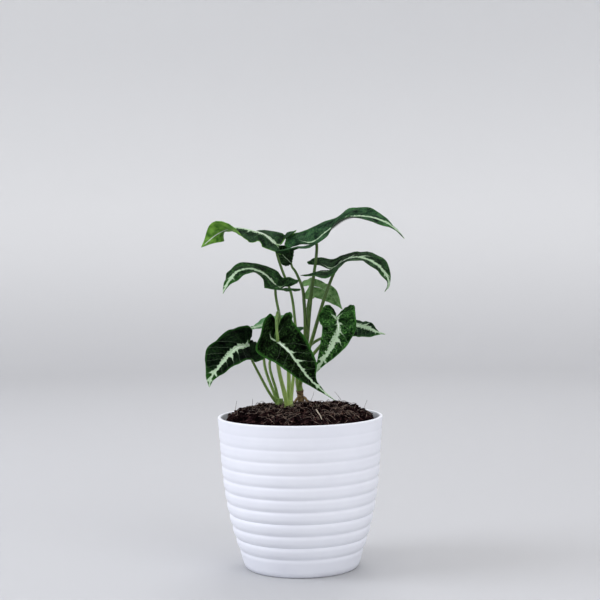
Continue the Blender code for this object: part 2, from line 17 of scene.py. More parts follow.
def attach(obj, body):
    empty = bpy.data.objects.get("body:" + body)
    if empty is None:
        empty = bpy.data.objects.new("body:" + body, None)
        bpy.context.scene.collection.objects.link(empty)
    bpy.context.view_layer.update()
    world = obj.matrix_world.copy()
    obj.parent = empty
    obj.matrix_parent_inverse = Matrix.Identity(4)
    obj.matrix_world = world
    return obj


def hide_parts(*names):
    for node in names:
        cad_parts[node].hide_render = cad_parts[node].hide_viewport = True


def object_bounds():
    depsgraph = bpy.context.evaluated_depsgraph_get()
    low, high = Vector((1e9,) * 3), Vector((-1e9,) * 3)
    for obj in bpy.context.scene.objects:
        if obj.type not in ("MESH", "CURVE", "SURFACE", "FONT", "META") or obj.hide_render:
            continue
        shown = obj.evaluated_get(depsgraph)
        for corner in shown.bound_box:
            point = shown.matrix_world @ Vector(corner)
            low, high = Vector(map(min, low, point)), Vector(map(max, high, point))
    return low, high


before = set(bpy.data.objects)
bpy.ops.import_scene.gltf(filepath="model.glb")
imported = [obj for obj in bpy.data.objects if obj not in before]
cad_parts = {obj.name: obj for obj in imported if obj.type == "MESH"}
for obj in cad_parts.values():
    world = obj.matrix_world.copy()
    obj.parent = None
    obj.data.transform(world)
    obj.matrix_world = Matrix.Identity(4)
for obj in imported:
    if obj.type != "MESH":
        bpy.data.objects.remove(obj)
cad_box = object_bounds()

MM = 0.001
tall = (cad_box[1].z - cad_box[0].z) / MM
print("The model has", len(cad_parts), "nodes, and is", round(tall), "mm high")

# %% [markdown]
# ## Helpers for every finish
#
# A shader works with linear light, while colours are read off a screen as hex codes, so one function
# turns the one into the other. Another adds a node with its settings, and feeds its sockets values or
# links, which keeps each material as short as its list of nodes. In a Mix node for colours, socket 0
# is the share, 6 and 7 are the two colours, and output 2 is the mix.

# %% Colours and nodes


def linear(code):
    """The linear colour of an sRGB hex code."""
    levels = [int(code[i : i + 2], 16) / 255 for i in (1, 3, 5)]
    return (*[c / 12.92 if c <= 0.04045 else ((c + 0.055) / 1.055) ** 2.4 for c in levels], 1.0)


def feed(tree, node, inputs):
    """Give each socket a value, or a link from an output or from a node's first output."""
    for name, value in inputs.items():
        if isinstance(value, bpy.types.Node):
            value = value.outputs[0]
        if isinstance(value, bpy.types.NodeSocket):
            tree.links.new(value, node.inputs[name])
        else:
            node.inputs[name].default_value = value


def add_node(tree, kind, inputs=None, **settings):
    """A new node with its settings, and with its inputs set or linked."""
    node = tree.nodes.new("ShaderNode" + kind)
    for name, value in settings.items():
        setattr(node, name, value)
    feed(tree, node, inputs or {})
    return node


def new_material(name, **surface):
    """A material with one Principled shader, whose plain values are set here."""
    made = bpy.data.materials.new(name)
    made.use_nodes = True
    shader = made.node_tree.nodes["Principled BSDF"]
    feed(made.node_tree, shader, {socket.replace("_", " "): value for socket, value in surface.items()})
    return made, made.node_tree, shader


# %% [markdown]
# ## Helpers for every piece
#
# An operator works on all that is selected, so each piece starts with nothing selected, and only the
# pieces to be joined are selected for that. When a piece is done, it rides with the plant's one body
# and stands for its node.

# %% Starting and finishing a piece


def start_clean():
    """Object mode, with nothing selected."""
    if bpy.context.object and bpy.context.object.mode != "OBJECT":
        bpy.ops.object.mode_set(mode="OBJECT")
    bpy.ops.object.select_all(action="DESELECT")


def only(*objects):
    """Just these selected, and the first of them active."""
    start_clean()
    for obj in objects:
        obj.select_set(True)
    bpy.context.view_layer.objects.active = objects[0]


def place(piece, slot, *nodes):
    """The piece rides with the plant and stands for the nodes. The slot is not used."""
    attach(piece, "root")
    if nodes:
        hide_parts(*nodes)
    print(piece.name, "has", len(piece.data.polygons), "faces")


# %% [markdown]
# ## The camera
#
# The photo was taken from nearly a metre away, from about the height of the upper leaves, and the phone
# was tilted by less than a degree. A long lens at that distance keeps the pot's sides as upright as in
# the photo. The Standard view shows each colour as it was mixed, as the photo does.

# %% Camera
CAMERA_AT = Vector((1.0, -976.0, 231.8)) * MM
LOOKING_DOWN = math.radians(2.21)
TILTED = math.radians(0.75)
LENS_MM = 80.7
SENSOR_MM = 36.0

start_clean()
bpy.ops.object.camera_add(location=CAMERA_AT)
camera = bpy.context.object
camera.matrix_world = (
    Matrix.Translation(CAMERA_AT)
    @ Matrix.Rotation(math.radians(90) - LOOKING_DOWN, 4, "X")
    @ Matrix.Rotation(-TILTED, 4, "Z")
)
camera.data.lens = LENS_MM
camera.data.sensor_width = SENSOR_MM
bpy.context.scene.camera = camera
bpy.context.scene.view_settings.view_transform = "Standard"
print("The camera stands", round(-CAMERA_AT.y / MM), "mm in front of the pot's middle")

# %% [markdown]
# ## Pot: the wall's profile
#
# The real pot is injection moulded: a thin tapered cup with a rolled lip and eleven soft grooves, faint
# under the rim and deeper towards the foot, with a slight swelling between each two. Turning one
# profile round the axis gives such a shape, so first comes the profile, from the foot up the outside,
# over the lip and down the inside.

# %% Pot profile
POT_HEIGHT = 110.0
RIM_RADIUS = 60.0
LIP_WIDTH = 2.4
FOOT_RADIUS = 39.5
WALL = 2.2
FLOOR = 3.0
GROOVES = 11
GROOVE_TOP = 101.3
GROOVE_PITCH = 8.75
GROOVE_DEPTH = 0.9
GROOVE_SOFT = 1.2
RIB_SWELL = 0.35


def taper(z):
    """Outer radius of the plain wall at height z, in mm."""
    heights = [0.0, 4.0, 12.0, 20.0, 28.0, 36.0, 44.0, 52.0, 60.0, 75.0, 91.0, POT_HEIGHT]
    radii = [41.6, 42.6, 44.9, 47.4, 49.8, 51.8, 53.5, 54.8, 56.0, 57.5, 58.6, RIM_RADIUS]
    return float(np.interp(z, heights, radii))


def wall_radius(z):
    """The same with its grooves, which grow deeper towards the foot, and its swellings."""
    i = (GROOVE_TOP - z) / GROOVE_PITCH
    if i < -0.35 or i > GROOVES - 0.65:
        return taper(z)
    nearest = min(GROOVES - 1, max(0, round(i)))
    away = abs(i - nearest) * GROOVE_PITCH
    depth = GROOVE_DEPTH * min(1.0, 0.2 + 0.12 * nearest)
    swell = RIB_SWELL * min(1.0, depth) * abs(math.sin(math.pi * i)) if 0 < i < GROOVES - 1 else 0.0
    return taper(z) + swell - depth * math.exp(-((away / GROOVE_SOFT) ** 1.4))


foot = [
    (FOOT_RADIUS, 0.0), (FOOT_RADIUS + 0.6, 0.15), (FOOT_RADIUS + 1.2, 0.6), (41.4, 1.3), (41.9, 2.4),
]
outside = [(wall_radius(z), z) for z in np.arange(3.6, POT_HEIGHT - 0.9, 0.7)]
LIP_RADIUS = RIM_RADIUS - LIP_WIDTH
lip = [
    (RIM_RADIUS, POT_HEIGHT - 0.7), (RIM_RADIUS - 0.15, POT_HEIGHT - 0.25),
    (RIM_RADIUS - 0.5, POT_HEIGHT), (LIP_RADIUS + 0.5, POT_HEIGHT), (LIP_RADIUS + 0.1, POT_HEIGHT - 0.3),
    (LIP_RADIUS, POT_HEIGHT - 0.8), (LIP_RADIUS - 0.3, POT_HEIGHT - 2.0),
]
inside = [(taper(z) - GROOVE_DEPTH - WALL, z) for z in (98.0, 86.0, 62.0, 38.0, 14.0)]
inside.append((40.0 - WALL, FLOOR))
print("The pot's profile has", len(foot + outside + lip + inside), "rings and", GROOVES, "grooves")

# %% [markdown]
# ## Turning a profile with extrude and resize
#
# Starting from a filled circle, each ring is an extrusion that is scaled to the next radius. Extruding
# a lone face keeps a face below, so the body is closed from the first step, and the moving face
# becomes the last cap.

# %% Turn a profile


def turned(name, profile, around):
    """A closed round body from its half profile of (radius, height) in mm."""
    radius, height = profile[0]
    start_clean()
    bpy.ops.mesh.primitive_circle_add(
        vertices=around, radius=radius * MM, fill_type="NGON", location=(0, 0, height * MM)
    )
    body = bpy.context.object
    body.name = name
    bpy.ops.object.transform_apply(location=True)
    bpy.ops.object.mode_set(mode="EDIT")
    for (r0, z0), (r1, z1) in zip(profile, profile[1:]):
        bpy.ops.mesh.extrude_region_move(TRANSFORM_OT_translate={"value": (0, 0, (z1 - z0) * MM)})
        bpy.ops.transform.resize(value=(r1 / r0, r1 / r0, 1), center_override=(0, 0, 0))
    bpy.ops.mesh.select_all(action="SELECT")
    bpy.ops.mesh.normals_make_consistent(inside=False)
    bpy.ops.object.mode_set(mode="OBJECT")
    return body


POT_SIDES = 176
pot = turned("plant_pot", foot + outside + lip + inside, POT_SIDES)
bpy.ops.object.shade_smooth_by_angle(angle=math.radians(50))

# %% [markdown]
# ## Moulded polypropylene
#
# The pot is white polypropylene with a satin surface from a finely blasted mould. It gives soft, wide
# highlights, a faint lavender cast in shade, and here and there a trace of dust. A very fine grain in
# the bump breaks the highlight, drawn a little coarser than real so that it shows.

# %% Pot finish
GRAIN_MM = 0.9
SMEAR_MM = 22.0

white_plastic, tree, shader = new_material("moulded_polypropylene", IOR=1.49, Roughness=0.42)
where = add_node(tree, "TexCoord").outputs["Object"]
smear = add_node(tree, "TexNoise", {"Vector": where, "Scale": 1 / (SMEAR_MM * MM), "Detail": 4.0})
tone = add_node(
    tree, "Mix", {0: smear, 6: linear("#e8eaf3"), 7: linear("#f1f3fa")}, data_type="RGBA"
).outputs[2]
gloss = add_node(tree, "MapRange", {"Value": smear, "To Min": 0.36, "To Max": 0.5})
grain = add_node(tree, "TexNoise", {"Vector": where, "Scale": 1 / (GRAIN_MM * MM), "Detail": 2.0})
bump = add_node(tree, "Bump", {"Strength": 0.12, "Distance": 0.05 * MM, "Height": grain})
feed(tree, shader, {"Base Color": tone, "Roughness": gloss, "Normal": bump})
pot.data.materials.append(white_plastic)
place(pot, "pot", "pot")

# %% [markdown]
# ## Potting mix: a mound of crumbs
#
# The mix is coir, peat and bark, heaped a little in the middle and falling below the rim at the edge.
# A heap of loose crumbs has bumps at every size, so its height is a smooth mound plus three sizes of
# noise. The same turned body as the pot's holds it, with its top rings moved to that height.

# %% Mound
SOIL_EDGE_Z = 106.0
SOIL_RINGS = np.concatenate([np.arange(52.4, 3.0, -0.75), [2.2, 1.2, 0.5]])
SOIL_SIDES = 220


def mound(x, y):
    """Height of the smooth heap at (x, y), in mm."""
    r = math.hypot(x, y)
    heights = [117.5, 116.6, 115.0, 113.0, 110.0, SOIL_EDGE_Z]
    dome = float(np.interp(r, [0, 20, 36, 46, 52, 57], heights))
    clump = 3.0 * math.exp(-((x - 29) ** 2 + (y - 12) ** 2) / 60.0)
    front = -1.5 * max(0.0, -y / 57.0) ** 2
    return dome + clump + front


def soil_top(x, y):
    """Height of the crumbled surface."""
    p = Vector((x, y, 0.0))
    lumps = noise.noise(p / 9.0) * 1.3
    clods = noise.noise(p / 3.6 + Vector((7, 0, 0))) * 1.1
    crumbs = noise.noise(p / 1.5 + Vector((0, 5, 0))) * 0.6
    return mound(x, y) + lumps + clods + crumbs


sides = [
    (37.0, FLOOR + 0.3), (41.5, 14.0), (48.4, 38.0), (52.3, 62.0), (54.0, 86.0), (54.6, SOIL_EDGE_Z),
]
soil = turned("potting_mix_bed", sides + [(r, SOIL_EDGE_Z + 0.1) for r in SOIL_RINGS], SOIL_SIDES)
for vert in soil.data.vertices:
    if vert.co.z > (SOIL_EDGE_Z + 0.05) * MM:
        vert.co.z = soil_top(vert.co.x / MM, vert.co.y / MM) * MM
bpy.ops.object.shade_smooth_by_angle(angle=math.radians(60))

# %% [markdown]
# ## Coir, peat and bark
#
# Moist potting mix is nearly black with reddish brown coir and a few paler bits of bark. It has no
# gloss at all, and its colour changes from crumb to crumb, so a cell pattern the size of a crumb picks
# a tone from a ramp, and a fine noise adds dust.

# %% Soil finish
CRUMB_MM = 2.2
DUST_MM = 0.8


def soil_material(name, tones):
    """Loose mix in the given tones, from the darkest crumb to the palest."""
    made, tree, shader = new_material(name, Roughness=0.95, Specular_IOR_Level=0.0)
    where = add_node(tree, "TexCoord").outputs["Object"]
    cells = add_node(tree, "TexVoronoi", {"Vector": where, "Scale": 1 / (CRUMB_MM * MM)})
    pick = add_node(tree, "SeparateColor", {"Color": cells.outputs["Color"]}).outputs["Red"]
    fine = {"Vector": where, "Scale": 1 / (DUST_MM * MM), "Detail": 3.0}
    dust = add_node(tree, "TexNoise", fine)
    both = add_node(tree, "Math", {0: pick, 1: dust}, operation="MULTIPLY")
    ramp = add_node(tree, "ValToRGB", {"Fac": both})
    ends = ramp.color_ramp.elements
    while len(ends) < len(tones):
        ends.new(0.5)
    for i, tone in enumerate(tones):
        ends[i].position = 0.08 + 0.5 * i / (len(tones) - 1)
        ends[i].color = linear(tone)
    bump = add_node(tree, "Bump", {"Strength": 0.6, "Distance": 0.4 * MM, "Height": dust})
    feed(tree, shader, {"Base Color": ramp.outputs["Color"], "Normal": bump})
    return made


mix_tones = ["#080405", "#140c0d", "#241719", "#432f2d"]
soil.data.materials.append(soil_material("moist_coir_and_peat", mix_tones))
place(soil, "potting_mix", "potting_mix")

# %% [markdown]
# ## Crumbs
#
# Separate crumbs on top give the heap its ragged outline. Four crumbs are shaped from small spheres
# and then copied, each copy turned, sized and set half into the surface. Flatter copies make bits of
# bark. The random draws are seeded, so every run gives the same heap.

# %% Crumbs
CRUMBS = 1100
CRUMB_REACH = 53.0
draw = random.Random(41)


def crumb_shape(seed):
    """A dented lump about 2 mm across, of a few dozen faces."""
    start_clean()
    bpy.ops.mesh.primitive_uv_sphere_add(segments=8, ring_count=5, radius=1.0 * MM)
    lump = bpy.context.object
    for vert in lump.data.vertices:
        vert.co *= 1 + 0.55 * noise.noise(vert.co / MM * 0.9 + Vector((seed * 9.0, 0, 0)))
    bpy.ops.object.shade_smooth_by_angle(angle=math.radians(40))
    return lump


def scattered(name, shapes, count, sizes, reach, flat=1.0):
    """Copies of the shapes strewn over the mound, joined as one piece."""
    copies = []
    for _ in range(count):
        r = reach * math.sqrt(draw.random())
        turn = draw.uniform(0, math.tau)
        x, y = r * math.cos(turn), r * math.sin(turn)
        size = draw.uniform(*sizes) * draw.uniform(0.6, 1.0)
        shape = draw.choice(shapes)
        copy = bpy.data.objects.new(name, shape.data.copy())
        bpy.context.collection.objects.link(copy)
        stretch = Matrix.Diagonal((size * draw.uniform(0.8, 1.5), size, size * flat, 1.0))
        lean = Matrix.Rotation(draw.uniform(-0.6, 0.6), 4, "Y")
        lean = lean @ Matrix.Rotation(draw.uniform(0, 6.3), 4, "Z")
        sunk = soil_top(x, y) + size * flat * draw.uniform(-0.1, 0.6)
        copy.data.transform(Matrix.Translation(Vector((x, y, sunk)) * MM) @ lean @ stretch)
        copies.append(copy)
    only(*copies)
    bpy.ops.object.join()
    return bpy.context.object


shapes = [crumb_shape(i) for i in range(4)]
crumbs = scattered("soil_crumbs", shapes, CRUMBS, (0.45, 1.25), CRUMB_REACH)
crumb_tones = ["#070405", "#150d0e", "#2a1c1c", "#58423c"]
crumbs.data.materials.append(soil_material("dark_crumbs", crumb_tones))
place(crumbs, "potting_mix")

# %% Bark chips
CHIPS = 46
CHIP_REACH = 50.0
chips = scattered("bark_chips", shapes, CHIPS, (1.2, 2.2), CHIP_REACH, flat=0.35)
chip_tones = ["#2e1e1c", "#4c3733", "#705a4f", "#a08d80"]
chips.data.materials.append(soil_material("composted_bark", chip_tones))
place(chips, "potting_mix")
only(*shapes)
bpy.ops.object.delete()

# %% [markdown]
# ## Coir fibres
#
# Tan coconut fibres lie across the heap, and a few stand up against the wall behind. Each is a thin
# curve with a round section. They are all drawn as splines of one curve object, which is then made a
# mesh in one go. The thicker, paler one in front is a dry root.

# %% Fibres
FIBRES = 330
FIBRE_REACH = 50.0


def strands(name, paths, sides=0):
    """One mesh of thin round strands. Each path is (points in mm, radius in mm)."""
    start_clean()
    bpy.ops.curve.primitive_nurbs_path_add()
    curve = bpy.context.object
    curve.name = name
    curve.data.splines.clear()
    curve.data.bevel_depth = MM
    curve.data.bevel_resolution = sides
    curve.data.use_fill_caps = True
    for points, radius in paths:
        spline = curve.data.splines.new("POLY")
        spline.points.add(len(points) - 1)
        radii = np.interp(np.linspace(0, 1, len(points)), np.linspace(0, 1, len(radius)), radius)
        for knot, point, thick in zip(spline.points, points, radii):
            knot.co = (*(Vector(point) * MM), 1.0)
            knot.radius = thick
    bpy.ops.object.convert(target="MESH")
    strand = bpy.context.object
    bpy.ops.object.shade_smooth_by_angle(angle=math.radians(60))
    return strand


def fibre_path():
    """A fibre that lies on the heap, bending a little as it goes."""
    r = FIBRE_REACH * math.sqrt(draw.random())
    turn = draw.uniform(0, math.tau)
    x, y = r * math.cos(turn), r * math.sin(turn)
    heading = draw.uniform(0, math.tau)
    length = draw.uniform(4.0, 13.0)
    bend = draw.uniform(-0.35, 0.35)
    lift = draw.uniform(0.2, 2.2)
    points = []
    for i in range(7):
        rise = lift * math.sin(math.pi * i / 6)
        points.append((x, y, soil_top(x, y) + 0.25 + rise))
        x += math.cos(heading) * length / 6
        y += math.sin(heading) * length / 6
        heading += bend
        if math.hypot(x, y) > FIBRE_REACH + 3.5:
            break
    return points, (draw.uniform(0.12, 0.28), 0.1)


lying = [path for path in (fibre_path() for _ in range(FIBRES)) if len(path[0]) > 3]
standing = [
    ([(-49, 20, 110), (-48, 20, 113), (-47.5, 20, 116), (-47, 19.5, 119)], (0.16, 0.1)),
    ([(-37, 15, 113), (-35.5, 15, 116), (-35, 15, 118.5), (-35.2, 15, 121)], (0.16, 0.1)),
    ([(46.5, 10, 109), (47, 10, 113), (48, 10, 116), (49.5, 10, 119.5)], (0.15, 0.09)),
    ([(31, 11, 117), (30, 11, 120), (28, 10.5, 123), (25.5, 10, 126)], (0.15, 0.09)),
    ([(8, 22, 115), (8.5, 23, 119), (10, 23, 122), (10.5, 22.5, 125)], (0.14, 0.09)),
]
fibres = strands("coir_fibres", lying + standing)

# %% Fibre finish
STREAK_MM = 3.0

coir, tree, shader = new_material("coir_fibre", Roughness=0.8)
where = add_node(tree, "TexCoord").outputs["Object"]
coarse = {"Vector": where, "Scale": 1 / (STREAK_MM * MM), "Detail": 3.0}
streak = add_node(tree, "TexNoise", coarse)
ramp = add_node(tree, "ValToRGB", {"Fac": streak})
ramp.color_ramp.elements[0].position = 0.4
ramp.color_ramp.elements[0].color = linear("#241817")
ramp.color_ramp.elements[1].position = 0.7
ramp.color_ramp.elements[1].color = linear("#9c8778")
feed(tree, shader, {"Base Color": ramp.outputs["Color"]})
fibres.data.materials.append(coir)
place(fibres, "potting_mix")

# %% Pale root
root_points = [(11.5, -30, 117.6), (12.5, -36, 116.6), (14, -43, 115.2), (15, -49, 113.2)]
root = strands("pale_root", [(root_points, (0.6, 0.5, 0.25))])
root_skin, _, _ = new_material("dry_root", Roughness=0.7, Base_Color=linear("#b5aa98"))
root.data.materials.append(root_skin)
place(root, "potting_mix")

# %% [markdown]
# ## Leaves: one flat outline, bent along its midrib
#
# A syngonium leaf is an arrowhead: a pointed blade with two lobes that reach back past the stalk. All
# leaves of a plant share that outline, and they differ in how long and wide they are and in how the
# midrib bends. So the outline is kept once, each leaf has a short list of its own sizes, and the same
# formula bends them all.

# %% Smooth paths and the outline


def smooth_path(points, count):
    """A smooth curve through the points, its slopes weighed by distance so that none overshoots."""
    p = np.asarray(points, float)
    steps = np.diff(np.vstack([2 * p[0] - p[1], p, 2 * p[-1] - p[-2]]), axis=0)
    gaps = np.linalg.norm(steps, axis=1, keepdims=True)
    before, after = gaps[:-1], gaps[1:]
    slopes = (before * steps[1:] / after + after * steps[:-1] / before) / (before + after)
    spans = len(p) - 1
    out = []
    for u in np.linspace(0, spans, count):
        i = min(int(u), spans - 1)
        f = u - i
        leaving, arriving = slopes[i] * gaps[i + 1], slopes[i + 1] * gaps[i + 1]
        square = 3 * (p[i + 1] - p[i]) - 2 * leaving - arriving
        cube = 2 * (p[i] - p[i + 1]) + leaving + arriving
        out.append(p[i] + leaving * f + square * f**2 + cube * f**3)
    return np.array(out)


def unit(v):
    return v / np.maximum(np.linalg.norm(v, axis=-1, keepdims=True), 1e-9)


# Half outline from the stalk's notch round the lobe to the tip: along the midrib in blade lengths, in
# lobe lengths where negative, then across in half widths. The notch's side ends at the sixth point.
ARROW = [
    (0.0, 0.0), (-0.30, 0.10), (-0.66, 0.27), (-0.93, 0.46), (-1.0, 0.62),
    (-0.84, 0.80), (-0.45, 0.95), (0.04, 1.0), (0.18, 0.93), (0.34, 0.78),
    (0.50, 0.60), (0.66, 0.41), (0.80, 0.24), (0.91, 0.105), (1.0, 0.0),
]
YOUNG = [
    (0.0, 0.0), (0.02, 0.22), (0.10, 0.58), (0.26, 0.92), (0.42, 1.0),
    (0.60, 0.86), (0.78, 0.54), (0.91, 0.22), (1.0, 0.0),
]
NOTCH_SHARE = 5 / (len(ARROW) - 1)

# %% [markdown]
# ## The midrib as a guide
#
# Everything on a leaf is placed from its midrib. For any distance from the stalk, this gives the point
# there, the way ahead, the way the upper side looks, and the way to the left.

# %% Midrib


def leaf_frame(leaf):
    """A function of the distance along the midrib, and the midrib's length."""
    rib = smooth_path(leaf["rib"], 160)
    arc = np.r_[0, np.cumsum(np.linalg.norm(np.diff(rib, axis=0), axis=1))]
    ahead = unit(np.gradient(rib, arc, axis=0))
    faces = unit(np.array(leaf["faces"], float))
    keys = np.linspace(0, arc[-1], len(faces))

    def at(s):
        on = np.clip(s, 0, arc[-1])
        point = np.stack([np.interp(on, arc, rib[:, k]) for k in range(3)], -1)
        along = unit(np.stack([np.interp(on, arc, ahead[:, k]) for k in range(3)], -1))
        normal = np.stack([np.interp(on, keys, faces[:, k]) for k in range(3)], -1)
        normal = unit(normal - (normal * along).sum(-1, keepdims=True) * along)
        return point, along, normal, np.cross(normal, along)

    return at, arc[-1]


# %% [markdown]
# ## Half a blade
#
# A grid of rays runs from the midrib to the edge. In the flat leaf each point has a distance along and
# across. Bending it puts the point beside the midrib, raised by the leaf's fold and by the waves of its
# edge. Between the side veins the blade of this plant swells like a quilt, and that relief is real
# shape, so it is added here and not left to a bump.

# %% Bend half a blade
RAYS = 70
STEPS = 18
SIDE_VEINS = 7.5
VEIN_SLANT = 0.84
QUILT = 0.42
CRUMPLE = 0.5
WAVES = 3
RIPPLES = 11
LOBE_ROOT = 0.62
LOBE_DROP = 0.15


def quilt(along, across, length, margin):
    """Relief between the side veins, with a groove along the midrib, in mm."""
    vein = (along - VEIN_SLANT * across) / (length / SIDE_VEINS)
    puff = np.sin(np.pi * (vein - np.floor(vein)))
    ahead = np.clip((along + 3) / 6, 0, 1)
    inward = np.clip(across / 4, 0, 1) * (1 - margin**3)
    groove = 0.35 * np.exp(-((across / 1.1) ** 2)) * ahead
    return QUILT * (puff - 0.6) * ahead * inward - groove


def leaf_side(leaf, side):
    """Points of one half blade with their flat (across, along) in mm and how near the edge they are."""
    k = 0 if side > 0 else 1
    at, length = leaf_frame(leaf)
    width = leaf["width"][k]
    lobe = leaf["lobe"][k]
    half = np.array(YOUNG if leaf.get("young") else ARROW)
    flat = smooth_path(half, RAYS + 1)
    flat[0] = half[0]
    flat[-1] = half[-1]
    ray = np.arange(RAYS + 1)
    inner = RAYS * NOTCH_SHARE
    notch = leaf.get("notch", 1.0)
    flat[:, 1] *= np.where(ray < inner, notch + (1 - notch) * ray / inner, 1.0)
    s = np.where(flat[:, 0] < 0, flat[:, 0] * lobe, flat[:, 0] * length)
    t = np.maximum(flat[:, 1], 0)
    root = np.maximum.accumulate(np.maximum(0, s - 0.4 * t * sum(leaf["width"])))
    root[-1] = length
    full = leaf.get("full", (0, 0))[k]
    t = t * width * (1 + full * np.sin(np.pi * np.clip((flat[:, 0] - 0.3) / 0.7, 0, 1)))
    drawn_in = np.clip((flat[:, 0] - 0.5) / 0.25, 0, 1)
    t = t * (1 - leaf.get("drip", (0, 0))[k] * drawn_in**2 * (3 - 2 * drawn_in))
    step = np.linspace(0, 1, STEPS + 1)
    along = root[:, None] + (s - root)[:, None] * step
    across = t[:, None] * step
    edge = (ray / RAYS)[:, None] * np.ones_like(step)
    margin = step * np.ones_like(edge)

    point, _, normal, left = at(np.maximum(along, 0))
    fold = np.array(leaf["fold"], float)[:, k]
    rise = np.radians(np.interp(along / length, (0, 0.22, 1), fold))[..., None]
    ends = np.minimum(1, (1 - edge) * 6) * np.minimum(1, edge * 6)
    phase = leaf.get("phase", 0.0) + (0.0 if side > 0 else 1.3)
    ripple = leaf["wave"] * np.sin(math.tau * WAVES * edge + phase) * step**2 * ends
    ripple += 0.3 * np.sin(math.tau * RIPPLES * edge + 2 * phase) * step**4 * ends
    relief = ripple + quilt(along, across, length, margin)
    out = point + across[..., None] * (np.cos(rise) * left * side + np.sin(rise) * normal)

    start, ahead, up, sideways = (v[0] for v in at(np.zeros(1)))
    lift = math.radians(leaf["fold"][0][k])
    outward = math.cos(lift) * sideways * side + math.sin(lift) * up
    corner = start + LOBE_ROOT * width * outward
    aim = -ahead * lobe - up * lobe * LOBE_DROP
    if leaf.get("lobes"):
        aim = np.array(leaf["lobes"][k], float) - corner
    back = np.maximum(-along, 0)[..., None] / lobe
    bend = np.clip(back / 0.5, 0, 1)
    bend = bend * bend * (3 - 2 * bend)
    out = out + back * ((1 - bend) * -ahead * lobe + bend * aim)
    places = [Vector(p) for p in out.reshape(-1, 3)]
    crumple = [noise.noise(p / 7.0) + 0.5 * noise.noise(p / 2.6) for p in places]
    relief += CRUMPLE * np.reshape(crumple, across.shape) * np.clip(across / 5, 0, 1)
    out = out + relief[..., None] * normal
    return out, np.stack([across * side, along], -1), margin


# %% [markdown]
# ## From flat sheet to leaf
#
# Each half starts as a grid primitive, which already has its faces and its UV map. Its points then move
# to the bent blade, and its UV map takes the flat leaf's millimetres, so that veins can be drawn on the
# flat leaf and follow every bend. The halves are joined at the midrib and get their thickness from a
# Solidify modifier, whose lower side takes the second material. A tapering ridge under the midrib
# carries on from the stalk.

# %% Build a leaf
BLADE = 0.4
FLAT_SPAN = 125.0


def half_sheet(leaf, side):
    """A grid primitive moved to one half of the blade."""
    points, flat, margin = leaf_side(leaf, side)
    start_clean()
    bpy.ops.mesh.primitive_grid_add(x_subdivisions=STEPS, y_subdivisions=RAYS, size=1.0)
    sheet = bpy.context.object
    sheet.data.vertices.foreach_set("co", (points * MM).reshape(-1).astype(np.float32))
    corners = np.empty(len(sheet.data.loops), np.int32)
    sheet.data.loops.foreach_get("vertex_index", corners)
    drawn = flat.reshape(-1, 2)[corners] / FLAT_SPAN + np.array([0.5, 0.25])
    sheet.data.uv_layers[0].name = "flat_leaf"
    sheet.data.uv_layers[0].data.foreach_set("uv", drawn.reshape(-1).astype(np.float32))
    near_edge = sheet.data.attributes.new("margin", "FLOAT", "POINT")
    near_edge.data.foreach_set("value", margin.reshape(-1).astype(np.float32))
    if side > 0:
        bpy.ops.object.mode_set(mode="EDIT")
        bpy.ops.mesh.flip_normals()
        bpy.ops.object.mode_set(mode="OBJECT")
    return sheet


def under_ridge(leaf):
    """The midrib's round ridge on the underside, thinning towards the tip."""
    at, length = leaf_frame(leaf)
    s = np.linspace(0.0, 0.94 * length, 26)
    point, _, normal, _ = at(s)
    thick = np.interp(s / length, (0, 0.3, 0.94), leaf.get("ridge", (0.75, 0.5, 0.18)))
    middle = point - normal * (BLADE + 0.3 + 0.25 * thick)[..., None]
    return strands("ridge", [([tuple(p) for p in middle], thick)], sides=2)


def build_leaf(leaf, upper, under, rib):
    """One leaf with its thickness, its ridge and its three finishes."""
    left = half_sheet(leaf, 1)
    right = half_sheet(leaf, -1)
    only(left, right)
    bpy.ops.object.join()
    blade = bpy.context.object
    blade.name = leaf["name"] + "_blade"
    bpy.ops.object.mode_set(mode="EDIT")
    bpy.ops.mesh.select_all(action="SELECT")
    bpy.ops.mesh.remove_doubles(threshold=0.015 * MM)
    bpy.ops.mesh.dissolve_degenerate(threshold=0.01 * MM)
    bpy.ops.object.mode_set(mode="OBJECT")
    for finish in (upper, under, rib):
        blade.data.materials.append(finish)
    bpy.ops.object.modifier_add(type="SOLIDIFY")
    shell = blade.modifiers[-1]
    shell.thickness = BLADE * MM
    shell.offset = -1
    shell.material_offset = 1
    shell.material_offset_rim = 1
    bpy.ops.object.modifier_apply(modifier=shell.name)
    ridge = under_ridge(leaf)
    for _ in range(3):
        ridge.data.materials.append(None)
    for face in ridge.data.polygons:
        face.material_index = 2
    only(blade, ridge)
    bpy.ops.object.join()
    bpy.ops.object.shade_smooth_by_angle(angle=math.radians(60))
    return blade


# %% [markdown]
# ## The twelve leaves
#
# Each leaf in the photo is one entry: the midrib from the stalk to the tip, and the directions that its
# upper side looks in along it. Pairs are left then right, seen from above with the tip ahead. width is
# the half width and lobe the length of a back lobe, in millimetres, and lobes is where the lobes end.
# fold is how far each half is raised, in degrees, at the notch, a fifth along and at the tip. full
# widens the outer blade, drip draws in its tip, and notch closes the gap between the lobes.

